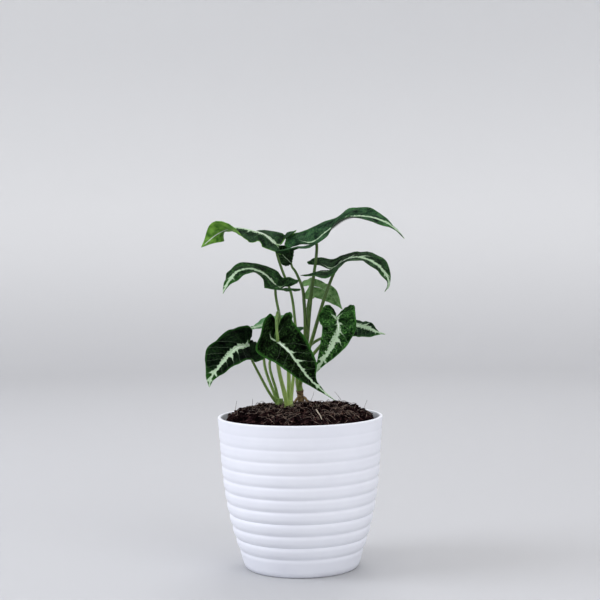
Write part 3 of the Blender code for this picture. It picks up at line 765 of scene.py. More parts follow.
# %% Leaf sizes
LEAF_TOP_LEFT = dict(
    name="leaf_top_left",
    rib=[
        (-16, 0, 235), (-25, -2, 243), (-35, -6, 246), (-44, -10, 247.5),
        (-51, -14, 246.5), (-59, -18, 241.5), (-69, -20, 233),
    ],
    faces=[
        (0, -0.4, 0.92), (0, -0.26, 0.96), (0, -0.24, 0.97),
        (-0.1, -0.1, 0.95), (-0.2, 0.98, 0.1), (-0.2, 0.98, 0.1),
    ],
    width=(17, 19), lobe=(18, 19), fold=((14, 4), (-26, -18), (-10, -4)), full=(1.5, 0.35),
    lobes=((-12, 2, 227), (-2, 11, 244)), wave=1.4, phase=2.0,
)
LEAF_TOP_RIGHT = dict(
    name="leaf_top_right",
    rib=[(13, 1, 237), (24, -1, 246), (35, -5, 253), (54, -11, 253), (67, -16, 247), (76, -20, 238)],
    faces=[(0, -0.26, 0.98), (0, -0.16, 0.98), (0, -0.1, 0.99), (0.4, -0.15, 0.9)],
    width=(20, 18), lobe=(26, 28), fold=((18, 16), (18, -3), (16, -2)),
    lobes=((-10, 3, 234.5), (-15, -20, 228)), wave=2.0, phase=0.4,
)
LEAF_MID_LEFT = dict(
    name="leaf_mid_left",
    rib=[
        (-16, -16, 205), (-24, -19, 214), (-34, -24, 218),
        (-43, -30, 216), (-49, -36, 209), (-53, -40, 201),
    ],
    faces=[(0, -0.42, 0.9), (0, -0.28, 0.96), (-0.3, -0.25, 0.9), (-0.8, -0.4, 0.4)],
    width=(20, 20), lobe=(20, 22), fold=((34, 2), (-12, -2), (0, 2)), full=(0.3, 0.35),
    lobes=((1, -26, 202), (-1, -8, 207)), wave=1.5, phase=1.0,
)
LEAF_MID_RIGHT = dict(
    name="leaf_mid_right",
    rib=[
        (26, -10, 218), (33, -13, 223), (41, -17, 225), (52, -22, 222),
        (61, -27, 214), (64, -30, 206), (61, -32, 200),
    ],
    faces=[(0, -0.36, 0.93), (0, -0.3, 0.95), (0.3, -0.25, 0.9), (0.85, -0.4, 0.3), (0.9, -0.3, -0.2)],
    width=(20, 20), lobe=(24, 26), fold=((-4, 9), (2, 0), (4, 0)), full=(0.3, 0.1),
    lobes=((6, 9, 222), (2, -16, 212)), wave=1.5,
)
LEAF_YOUNG = dict(
    name="leaf_young",
    rib=[(-5, 14, 221), (-10, 12, 226), (-16, 9, 234)],
    faces=[(0.5, -0.7, 0.3), (0.5, -0.7, 0.3)],
    width=(9, 9), lobe=(6, 6), fold=((14, 14), (14, 14), (14, 14)), wave=0.5, young=True,
    ridge=(0.5, 0.35, 0.15),
)

# %% Lower leaves
LEAF_RIGHT_FRONT = dict(
    name="leaf_right_front",
    rib=[
        (27, -24, 181), (28, -28, 176), (26, -33, 169),
        (22, -38, 162), (15, -43, 152), (11, -46, 145),
    ],
    faces=[(0, -0.8, 0.6), (-0.05, -0.9, 0.42), (-0.1, -0.92, 0.36), (-0.1, -0.95, 0.3)],
    width=(13.5, 13.5), lobe=(16, 18), fold=((14, 18), (14, 18), (14, 18)), full=(0.2, 0.1), notch=0.6,
    lobes=((37, -14, 191), (21, -16, 191)), wave=1.0,
)
LEAF_RIGHT_UPPER = dict(
    name="leaf_right_upper",
    rib=[(9, 15, 204), (17, 10, 202), (25, 5, 196), (32, 0, 187)],
    faces=[(0.1, -0.97, 0.25), (0.1, -0.95, 0.3), (0.2, -0.94, 0.3)],
    width=(6, 11), lobe=(10, 8), fold=((6, 10), (6, 10), (6, 10)), full=(0.7, 0.3),
    lobes=((1, 22, 205), (5, 19, 198)), wave=0.8,
)
LEAF_RIGHT_LOW = dict(
    name="leaf_right_low",
    rib=[(37, 12, 176), (43, 7, 175), (50, 1, 173.5), (56, -5, 171), (62, -10, 169.5)],
    faces=[(0.25, -0.75, 0.66), (0.25, -0.75, 0.66), (0.3, -0.7, 0.66)],
    width=(8, 15), lobe=(10, 10), fold=((-4, -4), (-6, -8), (-6, -10)), full=(0.1, 0.3),
    wave=1.2, phase=1.0,
)
LEAF_FRONT = dict(
    name="leaf_front",
    rib=[
        (-15, -38, 167), (-8, -43, 161), (-1, -49, 152),
        (6, -54, 143), (15, -58, 135), (24, -61, 128),
    ],
    faces=[(0.1, -0.86, 0.5), (0.15, -0.84, 0.5), (0.2, -0.84, 0.5), (0.2, -0.8, 0.5)],
    width=(17, 18), lobe=(22, 24), fold=((10, 14), (10, 14), (10, 14)), full=(0.1, -0.1),
    drip=(0.75, 0.45), notch=0.3, lobes=((-9, -30, 187), (-22, -28, 185)), wave=1.3,
)
LEAF_LOW_LEFT = dict(
    name="leaf_low_left",
    rib=[
        (-38, -20, 163), (-44, -26, 162), (-50, -32, 157),
        (-57, -38, 149), (-62, -42, 142), (-63, -44, 136),
    ],
    faces=[(-0.1, -0.84, 0.54), (-0.2, -0.84, 0.5), (-0.3, -0.86, 0.4), (-0.4, -0.88, 0.2)],
    width=(18, 17), lobe=(12, 14), fold=((8, 6), (8, 6), (8, 6)), full=(0.1, 0.62),
    lobes=((-31, -15, 166), (-34, -10, 174)), wave=1.3,
)
LEAF_LEFT_BEHIND = dict(
    name="leaf_left_behind",
    rib=[(-14, 15, 178), (-22, 12, 177), (-30, 9, 175), (-38, 6, 174)],
    faces=[(0, -0.45, 0.9), (0, -0.5, 0.86), (-0.2, -0.6, 0.8)],
    width=(10, 9), lobe=(8, 8), fold=((6, 6), (6, 6), (6, 6)), wave=0.8,
)
LEAF_BACK = dict(
    name="leaf_back",
    rib=[(-9, 33, 172), (-12, 48, 171), (-16, 62, 163), (-19, 73, 149)],
    faces=[(0, 0.35, 0.93), (0, 0.5, 0.85), (0, 0.8, 0.5)],
    width=(17, 17), lobe=(11, 11), fold=((6, 6), (6, 6), (6, 6)), wave=1.2,
)

# %% [markdown]
# ## The upper side of a leaf
#
# The leaf is velvety: dark green cells scatter light at a grazing view, and the pale midrib is a band
# without that dark layer, with ragged teeth that run out along the side veins. All of it is drawn on
# the flat leaf in millimetres. Distances from the midrib and from the nearest side vein are compared
# with the half width of the band and of each tooth, after a small noise has made their edges ragged.
# A step along the midrib counts as less when it is seen square to a side vein. The vein of a lobe has
# a direction of its own, given as its way out and its way back.

# %% Veins drawn on the flat leaf
RAGGED_MM = 2.6
JAG_MM = 1.6
BAND_SOFT = 0.3
SQUARE_TO_VEIN = 0.76
LOBE_VEIN = (0.57, 0.82)


def flat_leaf(tree, ragged):
    """Millimetres on the flat leaf, across and along, with ragged added to blur straight lines."""
    drawn = add_node(tree, "UVMap", uv_map="flat_leaf")
    centre = (-0.5 * FLAT_SPAN, -0.25 * FLAT_SPAN, 0.0)
    flat = add_node(
        tree, "VectorMath", {0: drawn, 1: (FLAT_SPAN,) * 3, 2: centre}, operation="MULTIPLY_ADD"
    )
    wobble = add_node(tree, "TexNoise", {"Vector": flat, "Scale": 1 / RAGGED_MM, "Detail": 3.0})
    push = (-0.5 * ragged,) * 3
    moved = add_node(
        tree, "VectorMath", {0: wobble.outputs[1], 1: (ragged,) * 3, 2: push}, operation="MULTIPLY_ADD"
    )
    both = add_node(tree, "VectorMath", {0: flat, 1: moved}, operation="ADD")
    return flat, both


def vein_masks(tree, length, band, teeth, ragged, lobe, swell):
    """Masks from 0 to 1: the pale band with its teeth, and the thin lines of the side veins."""
    at_notch, widest, at_tip = swell
    flat, rough = flat_leaf(tree, ragged)
    parts = add_node(tree, "SeparateXYZ", {0: rough})
    side, along = parts.outputs[0], parts.outputs[1]
    across = add_node(tree, "Math", {0: side}, operation="ABSOLUTE")

    # The band swells from the notch to its widest place and narrows from there to the tip
    rise = {"Value": along, "From Max": widest * length, "To Min": at_notch * band, "To Max": band}
    fall = {"Value": along, "From Min": widest * length, "From Max": 0.97 * length}
    fall.update({"To Min": 1.0, "To Max": at_tip})
    start = {"Value": along, "From Min": -2.0, "From Max": 2.0}
    width = add_node(tree, "MapRange", rise)
    for stage in (fall, start):
        share = add_node(tree, "MapRange", stage)
        width = add_node(tree, "Math", {0: width, 1: share}, operation="MULTIPLY")
    jagged = add_node(tree, "TexNoise", {"Vector": flat, "Scale": 1 / JAG_MM, "Detail": 2.0})
    spread = {"Value": jagged, "From Min": 0.3, "From Max": 0.7, "To Min": 0.45, "To Max": 1.45}
    jagged = add_node(tree, "MapRange", spread)
    width = add_node(tree, "Math", {0: width, 1: jagged}, operation="MULTIPLY")
    inside_band = add_node(tree, "Math", {0: width, 1: across}, operation="SUBTRACT")

    # Side veins leave the midrib at a slant, and each one has a tooth of its own length
    back = add_node(tree, "Math", {0: across, 1: -VEIN_SLANT, 2: along}, operation="MULTIPLY_ADD")
    spacing = length / SIDE_VEINS
    count = add_node(tree, "Math", {0: back, 1: 1 / spacing}, operation="MULTIPLY")
    number = add_node(tree, "Math", {0: count}, operation="FLOOR")
    part = add_node(tree, "Math", {0: count}, operation="FRACT")
    off_centre = add_node(tree, "Math", {0: part, 1: -0.5}, operation="ADD")
    off_line = add_node(tree, "Math", {0: off_centre}, operation="ABSOLUTE")
    vein_away = add_node(tree, "Math", {0: off_line, 1: spacing * SQUARE_TO_VEIN}, operation="MULTIPLY")
    which_side = add_node(tree, "Math", {0: side}, operation="SIGN")
    key = add_node(tree, "CombineXYZ", {0: number, 1: which_side})
    chance = add_node(tree, "TexWhiteNoise", {"Vector": key}, noise_dimensions="3D")
    few_long = add_node(tree, "Math", {0: chance, 1: 1.3}, operation="POWER")
    shorter = {"Value": along, "From Max": length, "To Min": 1.0, "To Max": 0.2 + 0.8 * at_tip}
    towards_tip = add_node(tree, "MapRange", shorter)
    few_long = add_node(tree, "Math", {0: few_long, 1: towards_tip}, operation="MULTIPLY")
    longest = {"Value": few_long, "To Min": 0.7 * band, "To Max": band + teeth}
    reach = add_node(tree, "MapRange", longest)
    run = add_node(tree, "Math", {0: across, 1: reach}, operation="DIVIDE")
    left_over = add_node(tree, "Math", {0: 1.0, 1: run}, operation="SUBTRACT", use_clamp=True)
    curve_in = add_node(tree, "Math", {0: left_over, 1: 1.7}, operation="POWER")
    narrowing = add_node(tree, "MapRange", {"Value": curve_in, "To Min": -0.12, "To Max": 1.5})
    in_tooth = add_node(tree, "Math", {0: narrowing, 1: vein_away}, operation="SUBTRACT")
    behind_off = {"Value": back, "From Min": -1.0, "From Max": 0.5, "To Min": -3.0, "To Max": 0.0}
    forward = add_node(tree, "MapRange", behind_off)
    in_tooth = add_node(tree, "Math", {0: in_tooth, 1: forward}, operation="ADD")

    # One vein runs back into each lobe from the notch
    out, back_along = LOBE_VEIN
    lobe_side = add_node(tree, "Math", {0: across, 1: back_along}, operation="MULTIPLY")
    lobe_off = add_node(tree, "Math", {0: along, 1: out, 2: lobe_side}, operation="MULTIPLY_ADD")
    lobe_away = add_node(tree, "Math", {0: lobe_off}, operation="ABSOLUTE")
    lobe_back = add_node(tree, "Math", {0: along, 1: -1.0 / max(lobe, 1.0)}, operation="MULTIPLY")
    foot = 0.75 * min(band, 1.4)
    thinning = {"Value": lobe_back, "From Max": 0.55, "To Min": foot, "To Max": -0.3}
    lobe_thick = add_node(tree, "MapRange", thinning)
    in_lobe = add_node(tree, "Math", {0: lobe_thick, 1: lobe_away}, operation="SUBTRACT")
    ahead_off = {"Value": lobe_back, "From Min": -0.1, "From Max": 0.0, "To Min": -3.0, "To Max": 0.0}
    behind = add_node(tree, "MapRange", ahead_off)
    in_lobe = add_node(tree, "Math", {0: in_lobe, 1: behind}, operation="ADD")

    most = inside_band
    for other in (in_tooth, in_lobe):
        most = add_node(tree, "Math", {0: most, 1: other}, operation="MAXIMUM")
    pale = add_node(
        tree, "MapRange", {"Value": most, "From Min": -BAND_SOFT, "From Max": BAND_SOFT},
        interpolation_type="SMOOTHSTEP",
    )
    thin = {"Value": vein_away, "From Min": 0.1, "From Max": 0.45, "To Min": 1.0, "To Max": 0.0}
    line = add_node(tree, "MapRange", thin)
    return flat, rough, along, pale, line


# %% [markdown]
# ## Colours of the upper side
#
# Under the pale band lies a green that changes in patches. A fine net with broken side veins, small
# flecks, and a brighter margin and tip are laid over it, each as a mask with its own green. Young
# leaves are brighter, and each leaf brings its own dark and light green, which also holds painted light
# and shade: lighter on leaves that catch the light, darker on leaves that hang in shade.
# The skin has next to no gloss, so the dark green stays dark in a white room.

# %% Upper side
PATCH_MM = 9.0
NET_MM = 1.7
SPECK_MM = 1.5
BREAK_MM = 4.0
FLECKS_PER_MM = 1.1


def upper_skin(
    leaf, dark, light, band=1.5, teeth=5.0, ragged=2.0, mottle=0.25, flecks=0.2,
    tip=0.5, rim=0.3, lines=0.2, swell=(1.0, 0.2, 0.15),
):
    """The velvety upper side of one leaf."""
    name = leaf["name"].replace("leaf_", "") + "_leaf_upper"
    skin, tree, shader = new_material(
        name, Roughness=0.5, Specular_IOR_Level=0.004,
        Sheen_Weight=0.002, Sheen_Roughness=0.4, Sheen_Tint=linear("#b9c9b4"),
    )
    _, length = leaf_frame(leaf)
    lobe = leaf["lobe"][0]
    flat, rough, along, pale, line = vein_masks(tree, length, band, teeth, ragged, lobe, swell)
    patch = add_node(
        tree, "TexNoise", {"Vector": flat, "Scale": 1 / PATCH_MM, "Detail": 5.0, "Roughness": 0.65}
    )
    patch = add_node(tree, "MapRange", {"Value": patch, "From Min": 0.38, "From Max": 0.62})
    tones = {0: patch, 6: linear(dark), 7: linear(light)}
    green = add_node(tree, "Mix", tones, data_type="RGBA").outputs[2]

    # The net, and the side veins, which are broken and fade towards the margin
    net = add_node(
        tree, "TexVoronoi", {"Vector": rough, "Scale": 1 / NET_MM}, feature="DISTANCE_TO_EDGE"
    )
    net = add_node(tree, "MapRange", {"Value": net, "From Max": 0.16, "To Min": mottle, "To Max": 0.0})
    net = add_node(tree, "Math", {0: net, 1: patch}, operation="MULTIPLY")
    margin = add_node(tree, "Attribute", attribute_name="margin").outputs["Fac"]
    weaker = {"Value": margin, "From Min": 0.1, "To Min": lines, "To Max": 0.0}
    fading = add_node(tree, "MapRange", weaker)
    broken = add_node(tree, "TexNoise", {"Vector": flat, "Scale": 1 / BREAK_MM, "Detail": 1.0})
    broken = add_node(tree, "MapRange", {"Value": broken, "From Min": 0.4, "From Max": 0.62})
    fading = add_node(tree, "Math", {0: fading, 1: broken}, operation="MULTIPLY")
    veins = add_node(tree, "Math", {0: line, 1: fading}, operation="MULTIPLY")
    drawn = add_node(tree, "Math", {0: net, 1: veins}, operation="MAXIMUM")

    # The flecks
    speck = add_node(tree, "TexNoise", {"Vector": rough, "Scale": 1 / SPECK_MM, "Detail": 2.0})
    speck = add_node(
        tree, "MapRange", {"Value": speck, "From Min": 0.5, "From Max": 0.62, "To Max": flecks}
    )
    speck = add_node(tree, "Math", {0: speck, 1: patch}, operation="MULTIPLY")

    # The margin and the tip
    edge = add_node(tree, "MapRange", {"Value": margin, "From Min": 0.88, "To Max": rim})
    tipward = add_node(
        tree, "MapRange", {"Value": along, "From Min": 0.7 * length, "From Max": length, "To Max": tip}
    )
    bright = add_node(tree, "Math", {0: edge, 1: tipward}, operation="ADD", use_clamp=True)

    for mask, tint in ((drawn, "#6c9a5e"), (speck, "#5f9a48"), (bright, "#3f7a2f")):
        layer = {0: mask, 6: green, 7: linear(tint)}
        green = add_node(tree, "Mix", layer, data_type="RGBA").outputs[2]

    # The pale band over all of it
    fleck = add_node(tree, "TexNoise", {"Vector": flat, "Scale": FLECKS_PER_MM, "Detail": 2.0})
    tones = {0: fleck, 6: linear("#7c9d76"), 7: linear("#c1d2b8")}
    band_tone = add_node(tree, "Mix", tones, data_type="RGBA").outputs[2]
    colour = add_node(tree, "Mix", {0: pale, 6: green, 7: band_tone}, data_type="RGBA").outputs[2]
    height = add_node(tree, "Math", {0: drawn, 1: -1.0, 2: fleck}, operation="MULTIPLY_ADD")
    bump = add_node(tree, "Bump", {"Strength": 0.35, "Distance": 0.25 * MM, "Height": height})
    feed(tree, shader, {"Base Color": colour, "Normal": bump})
    return skin


# %% [markdown]
# ## The underside
#
# The underside is smoother and paler. Where it faces the window, light comes through it and turns it a
# bright yellow green, and that glow is painted light in each leaf's underside greens. The same veins
# show there as pale lines that fade towards the margin.

# %% Underside
UNDER_PATCH_MM = 4.5


def under_skin(leaf, dark, light):
    """The paler underside of one leaf."""
    name = leaf["name"].replace("leaf_", "") + "_leaf_under"
    skin, tree, shader = new_material(name, Roughness=0.5, Specular_IOR_Level=0.04)
    _, length = leaf_frame(leaf)
    flat, _, _, pale, line = vein_masks(tree, length, 0.8, 3.0, 1.4, leaf["lobe"][0], (1.0, 0.2, 0.2))
    patch = add_node(tree, "TexNoise", {"Vector": flat, "Scale": 1 / UNDER_PATCH_MM, "Detail": 4.0})
    patch = add_node(tree, "MapRange", {"Value": patch, "From Min": 0.35, "From Max": 0.65})
    tones = {0: patch, 6: linear(dark), 7: linear(light)}
    green = add_node(tree, "Mix", tones, data_type="RGBA").outputs[2]
    margin = add_node(tree, "Attribute", attribute_name="margin").outputs["Fac"]
    fading = add_node(tree, "MapRange", {"Value": margin, "To Min": 0.45, "To Max": 0.05})
    line = add_node(tree, "Math", {0: line, 1: fading}, operation="MULTIPLY")
    veins = add_node(tree, "Math", {0: pale, 1: line}, operation="MAXIMUM")
    veins = add_node(tree, "Math", {0: veins, 1: 0.6}, operation="MULTIPLY")
    tones = {0: veins, 6: green, 7: linear("#9cc47c")}
    colour = add_node(tree, "Mix", tones, data_type="RGBA").outputs[2]
    bump = add_node(tree, "Bump", {"Strength": 0.3, "Distance": 0.2 * MM, "Height": veins})
    feed(tree, shader, {"Base Color": colour, "Normal": bump})
    return skin


# %% [markdown]
# ## Petiole skin
#
# The stalks are waxy and yellow green, paler where they sheath each other at the foot and darker, with
# an olive tinge, near the leaf. Height over the table picks the tone, and lengthwise streaks about
# 1 mm wide and 8 mm long break it.

# %% Petiole finish
FOOT_Z = 118.0
STREAKS_PER_M = (900.0, 900.0, 120.0)


def petiole_skin(name, low, high, top=190.0):
    """A waxy green stalk that turns from its low to its high tone."""
    skin, tree, shader = new_material(name, Roughness=0.35, Specular_IOR_Level=0.25)
    where = add_node(tree, "TexCoord").outputs["Object"]
    height = add_node(tree, "SeparateXYZ", {0: where}).outputs[2]
    climb = add_node(tree, "MapRange", {"Value": height, "From Min": FOOT_Z * MM, "From Max": top * MM})
    stretch = add_node(tree, "Mapping", {"Vector": where, "Scale": STREAKS_PER_M})
    streaks = add_node(tree, "TexNoise", {"Vector": stretch, "Scale": 1.0, "Detail": 2.0})
    mixed = add_node(tree, "Math", {0: streaks, 1: 1.2, 2: climb}, operation="MULTIPLY_ADD")
    mixed = add_node(tree, "MapRange", {"Value": mixed, "From Min": 0.5, "From Max": 1.6})
    tones = {0: mixed, 6: linear(low), 7: linear(high)}
    colour = add_node(tree, "Mix", tones, data_type="RGBA").outputs[2]
    bump = add_node(tree, "Bump", {"Strength": 0.2, "Distance": 0.1 * MM, "Height": streaks})
    feed(tree, shader, {"Base Color": colour, "Normal": bump})
    return skin


# %% [markdown]
# ## Making the leaves
#
# Each leaf's greens carry painted light and shade: the leaves high up are painted a lighter greyish
# green where they catch the light, the ones that hang in front are painted darkest for the shade they
# hang in, and the two small ones further back are fresh and mottled. Each entry is a leaf, the look of
# its upper side, and the two greens of its underside.

# %% Leaves
rib_green = petiole_skin("leaf_rib_green", "#8fb06a", "#7d9f5c", top=260.0)
# Painted light and shade: each leaf's dark and light green is lighter high up and darkest in front.
LOOKS = [
    (
        LEAF_TOP_LEFT,
        dict(
            dark="#08130c", light="#1c3024", band=3.1, teeth=6.0, mottle=0.15,
            swell=(1.0, 0.15, 0.15),
        ),
        # Painted light: these bright underside greens stand for light shining through the rolled tip.
        ("#3c6b25", "#82b44a"),
    ),
    (
        LEAF_TOP_RIGHT,
        dict(dark="#0c1a13", light="#233e2e", band=1.5, teeth=3.0, swell=(0.8, 0.85, 1.0)),
        ("#162918", "#2b4a28"),
    ),
    (
        LEAF_MID_LEFT,
        dict(dark="#040c07", light="#12261a", band=2.5, teeth=7.0, flecks=0.35, swell=(0.8, 0.35, 0.5)),
        ("#1c351b", "#35562d"),
    ),
    (
        LEAF_MID_RIGHT,
        dict(dark="#06100a", light="#182a1f", band=2.4, teeth=9.0, swell=(0.4, 0.6, 0.8)),
        ("#1c351b", "#35562d"),
    ),
    (
        LEAF_YOUNG,
        dict(dark="#050b07", light="#0c1a12", band=0.3, teeth=1.0, tip=0.1),
        ("#16280f", "#26401f"),
    ),
    (
        LEAF_RIGHT_FRONT,
        dict(
            dark="#020b03", light="#0f2f0f", band=2.2, teeth=8.0, mottle=0.25, flecks=0.6, ragged=3.0,
            swell=(0.35, 0.4, 0.45),
        ),
        ("#2c5224", "#467536"),
    ),
    (
        LEAF_RIGHT_UPPER,
        dict(dark="#355c2c", light="#8fb077", band=0.05, teeth=0.5, mottle=0.5, flecks=0.6, ragged=3.0),
        ("#4f7f3a", "#7aa555"),
    ),
    (
        LEAF_RIGHT_LOW,
        dict(dark="#07110c", light="#182b20", band=2.2, teeth=6.0, mottle=0.15, swell=(1.0, 0.3, 0.5)),
        ("#33602a", "#55843c"),
    ),
    (
        LEAF_FRONT,
        dict(
            dark="#010201", light="#050c05", band=1.0, teeth=7.0, mottle=0.08, flecks=0.14, rim=0.45,
            lines=0.03, swell=(1.3, 0.15, 0.5),
        ),
        ("#1f3d1b", "#3d6b2b"),
    ),
    (
        LEAF_LOW_LEFT,
        dict(
            dark="#010302", light="#07110a", band=2.1, teeth=10.0, mottle=0.06, flecks=0.05, lines=0.06,
            swell=(1.1, 0.2, 0.35),
        ),
        ("#1f3d1b", "#3d6b2b"),
    ),
    (
        LEAF_LEFT_BEHIND,
        dict(dark="#2b5734", light="#80ae7f", band=2.6, teeth=6.0, mottle=0.4),
        ("#33602a", "#55843c"),
    ),
    (
        LEAF_BACK,
        dict(dark="#0b1b11", light="#1e3825", band=1.8, teeth=6.0),
        ("#1f3d1b", "#3d6b2b"),
    ),
]
for leaf, upper, under in LOOKS:
    blade = build_leaf(leaf, upper_skin(leaf, **upper), under_skin(leaf, *under), rib_green)
    fresh = leaf in (LEAF_RIGHT_UPPER, LEAF_LEFT_BEHIND)
    place(blade, "leaf_fresh" if fresh else "leaf", leaf["name"])

# %% [markdown]
# ## Stalks
#
# Each leaf hangs from a long petiole that rises from its plantlet's crown. It is thickest at the foot,
# where its base wraps the next one, and it ends in a short knee under the blade's notch. A curve with a
# round bevel and a radius that changes along it gives exactly that.

# %% Petiole paths
KNEE = 3.5
KNEE_GAP = 0.1


def stalk_to(leaf, *points):
    """A petiole's points, with a short knee under the blade's notch."""
    at, _ = leaf_frame(leaf)
    start, _, up, _ = (v[0] for v in at(np.zeros(1)))
    end = start - up * (BLADE + KNEE_GAP)
    lean = unit(unit(np.array(points[-1]) - end) - 0.2 * up)
    return [*points, tuple(end + lean * KNEE), tuple(end)]


def petioles(name, rods, finish, slot, node):
    """A bunch of tapering stalks as one piece."""
    paths = [(smooth_path(points, 44), radii) for points, radii in rods]
    bunch = strands(name, paths, sides=4)
    bunch.data.materials.append(finish)
    place(bunch, slot, node)


# %% Left plantlet
low_left = [(-15, 5, 112), (-15.8, 4.7, 117), (-20, 3, 123), (-30, -2, 142), (-35, -8, 153)]
behind = [(-15, 5.5, 112), (-16, 6, 118), (-19, 7, 126), (-26, 10, 152), (-22, 13, 168)]
back = [(-15, 5.5, 112), (-15.5, 6.5, 118), (-17, 9, 126), (-22, 16, 148), (-16, 25, 162)]
left_rods = [
    ([(-15, 5, 108), (-15, 5, 116), (-15, 5, 122)], (3.3, 3.3, 2.5)),
    (stalk_to(LEAF_LOW_LEFT, *low_left), (2.0, 1.1, 0.9, 0.8)),
    (stalk_to(LEAF_LEFT_BEHIND, *behind), (1.9, 1.1, 0.9, 0.8)),
    (stalk_to(LEAF_BACK, *back), (1.9, 1.1, 0.9, 0.8)),
]
olive = petiole_skin("petiole_left", "#86a657", "#2c3b25")
petioles("petioles_left", left_rods, olive, "stalk", "stalks_left")

# %% Front plantlet
over = [
    (-8.5, -7.5, 112), (-9, -8, 118), (-11, -10, 127), (-15, -14, 146),
    (-16, -19, 170), (-14.5, -24, 183), (-14.5, -30, 187), (-15.5, -36, 183),
    (-15.5, -38.6, 175), (-15, -38.6, 168.5), (-15, -38, 167),
]
mid_left = [(-8, -6.5, 112), (-8, -6, 122), (-8, -8, 144), (-10, -12, 162), (-14, -16, 185)]
top_left = [
    (-7.5, -6.5, 112), (-7, -6, 118), (-6, -4, 127), (-4, -1, 142),
    (-2, 3, 161), (-3, 6, 180), (-6, 6, 201), (-11, 3, 214),
]
front_rods = [
    ([(-8, -7, 108), (-8, -7, 116), (-8, -7, 122)], (3.5, 3.5, 2.6)),
    (over, (2.3, 1.5, 1.2, 1.1, 1.1)),
    (stalk_to(LEAF_MID_LEFT, *mid_left), (2.2, 1.3, 1.0, 0.9)),
    (stalk_to(LEAF_TOP_LEFT, *top_left), (2.0, 1.1, 1.0, 0.9)),
]
pale_green = petiole_skin("petiole_front", "#a6c268", "#55713a")
petioles("petioles_front", front_rods, pale_green, "stalk", "stalks_front")

# %% Right plantlet
young = [
    (-0.5, 16.5, 130), (1, 14, 145), (4, 10, 162), (4, 8, 192),
    (3, 10, 202), (0.5, 12, 209), (-3, 13.5, 216),
]
top_right = [
    (-0.3, 16.7, 130), (3, 15, 147), (5.5, 12, 162), (8, 5, 187),
    (10, 1, 204), (11.5, -3, 214), (13.2, -3, 226),
]
right_upper = [(-0.4, 17, 130), (3, 18, 148), (5, 17.5, 164), (7, 17, 190)]
mid_right = [(-0.2, 16, 130), (3, 10, 148), (8, 4, 161), (14, -6, 181), (19, -11, 197), (24, -11, 210)]
right_low = [(-0.2, 16.5, 130), (3, 13, 150), (8, 11, 160), (18, 11, 166), (29, 13, 168)]
right_front = [(-0.2, 16, 130), (3, 7, 143), (9, 0, 153), (16, -8, 162), (23, -16, 171)]
right_rods = [
    ([(0.0, 17.5, 126.8), (-1.0, 16.5, 133), (-1.0, 16.0, 142)], (2.5, 2.4, 1.9)),
    (stalk_to(LEAF_YOUNG, *young), (1.8, 1.3, 1.0, 0.8)),
    (stalk_to(LEAF_TOP_RIGHT, *top_right), (1.8, 1.4, 1.1, 1.1)),
    (stalk_to(LEAF_RIGHT_UPPER, *right_upper), (1.8, 1.3, 1.0, 0.9)),
    (stalk_to(LEAF_MID_RIGHT, *mid_right), (1.8, 1.4, 1.1, 1.0)),
    (stalk_to(LEAF_RIGHT_LOW, *right_low), (1.8, 1.2, 0.9, 0.8)),
    (stalk_to(LEAF_RIGHT_FRONT, *right_front), (1.8, 1.3, 1.0, 0.9)),
]
grass_green = petiole_skin("petiole_right", "#7c964a", "#46602f")
petioles("petioles_right", right_rods, grass_green, "stalk", "stalks_right")

# %% [markdown]
# ## The woody stem base
#
# The right plantlet stands on a short brown stub of old stem. Young roots leave it just above the mix
# and prop it like stilts, and a pale ring marks where the green stalks begin.

# %% Stem base
stub = [
    ([(1, 19, 108.5), (0.7, 18.5, 119), (0.2, 17.8, 124), (0.0, 17.5, 126.6)], (2.3, 2.5, 2.4, 2.9)),
]
stilts = [
    ([(-0.5, 17.5, 122.0), (-3.2, 15.0, 119.0), (-4.0, 14.0, 113.0)], (1.0, 0.9, 0.7)),
    ([(0.8, 17.8, 122.0), (4.8, 15.8, 119.5), (5.5, 15.0, 113.0)], (1.0, 0.9, 0.7)),
    ([(0.6, 19.0, 122.0), (4.4, 23.4, 119.5), (5.0, 24.5, 113.0)], (1.0, 0.9, 0.7)),
]
base = strands("stem_stub", [(smooth_path(p, 24), r) for p, r in stub + stilts], sides=4)

# %% Stem finish
RINGS_PER_M = (300.0, 300.0, 1300.0)

bark, tree, shader = new_material("young_stem_bark", Roughness=0.8)
where = add_node(tree, "TexCoord").outputs["Object"]
rings = add_node(tree, "Mapping", {"Vector": where, "Scale": RINGS_PER_M})
rough = add_node(tree, "TexNoise", {"Vector": rings, "Scale": 1.0, "Detail": 4.0})
ramp = add_node(tree, "ValToRGB", {"Fac": rough})
ramp.color_ramp.elements[0].position = 0.35
ramp.color_ramp.elements[0].color = linear("#3f2a1c")
ramp.color_ramp.elements[1].position = 0.68
ramp.color_ramp.elements[1].color = linear("#9c8355")
bump = add_node(tree, "Bump", {"Strength": 0.5, "Distance": 0.3 * MM, "Height": rough})
feed(tree, shader, {"Base Color": ramp.outputs["Color"], "Normal": bump})
base.data.materials.append(bark)
place(base, "stem", "stem_base")

# %% [markdown]
# ## Floor and light
#
# A pale floor that curves up into a wall all round, like a photographer's sweep, leaves no line behind
# the plant from any side. Its flat part is painted darker and its wall paler, as painted shade and
# painted light. Three large soft lights stand in for a bright room. The key light comes from high on
# the left, where the photo's pot is brightest, a weaker one from the front right keeps the dark leaves
# readable, and one behind lights the far side.

# %% Floor
FLAT_RADIUS = 1500.0
SWEEP_RADIUS = 700.0
WALL_TOP = 2600.0
FLOOR_SIDES = 96

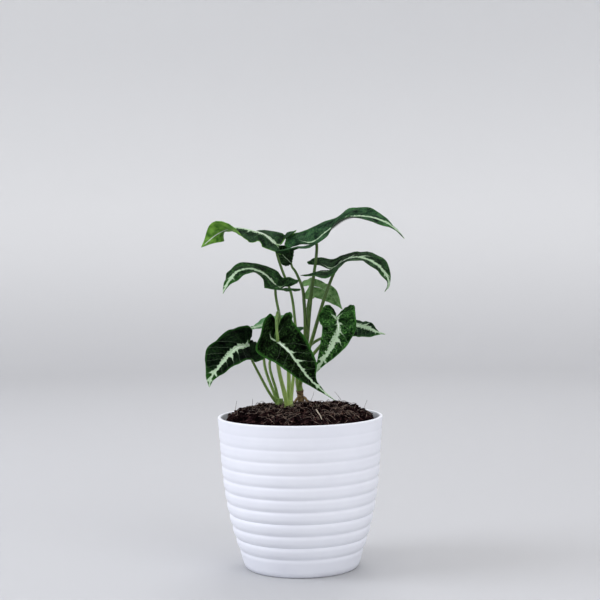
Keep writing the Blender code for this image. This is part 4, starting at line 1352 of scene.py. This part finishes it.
sweep = [
    (FLAT_RADIUS + SWEEP_RADIUS * math.sin(a), SWEEP_RADIUS * (1 - math.cos(a)) + 0.01)
    for a in np.radians(np.arange(0, 91, 6))
]
floor = turned("floor", [*sweep, (FLAT_RADIUS + SWEEP_RADIUS, WALL_TOP)], FLOOR_SIDES)
bpy.ops.object.mode_set(mode="EDIT")
bpy.ops.mesh.select_all(action="DESELECT")
bpy.ops.object.mode_set(mode="OBJECT")
for face in floor.data.polygons:
    face.select = face.center.z > (WALL_TOP - 1.0) * MM
bpy.ops.object.mode_set(mode="EDIT")
bpy.ops.mesh.delete(type="FACE")
bpy.ops.mesh.select_all(action="SELECT")
bpy.ops.mesh.flip_normals()
bpy.ops.object.mode_set(mode="OBJECT")
bpy.ops.object.shade_smooth_by_angle(angle=math.radians(30))

# The flat floor is painted darker and the wall paler: painted shade and painted light.
painted, tree, shader = new_material("pale_floor", Roughness=0.75)
where = add_node(tree, "TexCoord").outputs["Object"]
height = add_node(tree, "SeparateXYZ", {0: where}).outputs[2]
climb = add_node(
    tree, "MapRange", {"Value": height, "From Min": -0.15, "From Max": 0.35},
    interpolation_type="SMOOTHSTEP",
)
tone = add_node(
    tree, "Mix", {0: climb, 6: linear("#a9aaad"), 7: linear("#d6d7d8")}, data_type="RGBA"
).outputs[2]
feed(tree, shader, {"Base Color": tone})
floor.data.materials.append(painted)

# %% Lights
PLANT_MIDDLE = Vector((0, 0, 0.13))
ROOM_LIGHT = 1.39


def soft_light(name, at, size, watts, tint="#ffffff"):
    """A square softbox that looks at the middle of the plant."""
    start_clean()
    bpy.ops.object.light_add(type="AREA", location=at)
    lamp = bpy.context.object
    lamp.name = name
    lamp.data.shape = "SQUARE"
    lamp.data.size = size
    lamp.data.energy = watts
    lamp.data.color = linear(tint)[:3]
    aim = PLANT_MIDDLE - Vector(at)
    lamp.rotation_euler = aim.to_track_quat("-Z", "Y").to_euler()


soft_light("key", (-1.5, -0.2, 1.2), 1.0, 19.0, "#f4f7ff")
soft_light("fill", (0.75, -1.0, 0.85), 0.9, 5.5)
soft_light("back", (0.3, 1.2, 1.6), 1.0, 8.0)
world = bpy.data.worlds.new("pale_room")
bpy.context.scene.world = world
world.use_nodes = True
sky = world.node_tree.nodes["Background"]
sky.inputs["Color"].default_value = linear("#f2f0f1")
sky.inputs["Strength"].default_value = ROOM_LIGHT
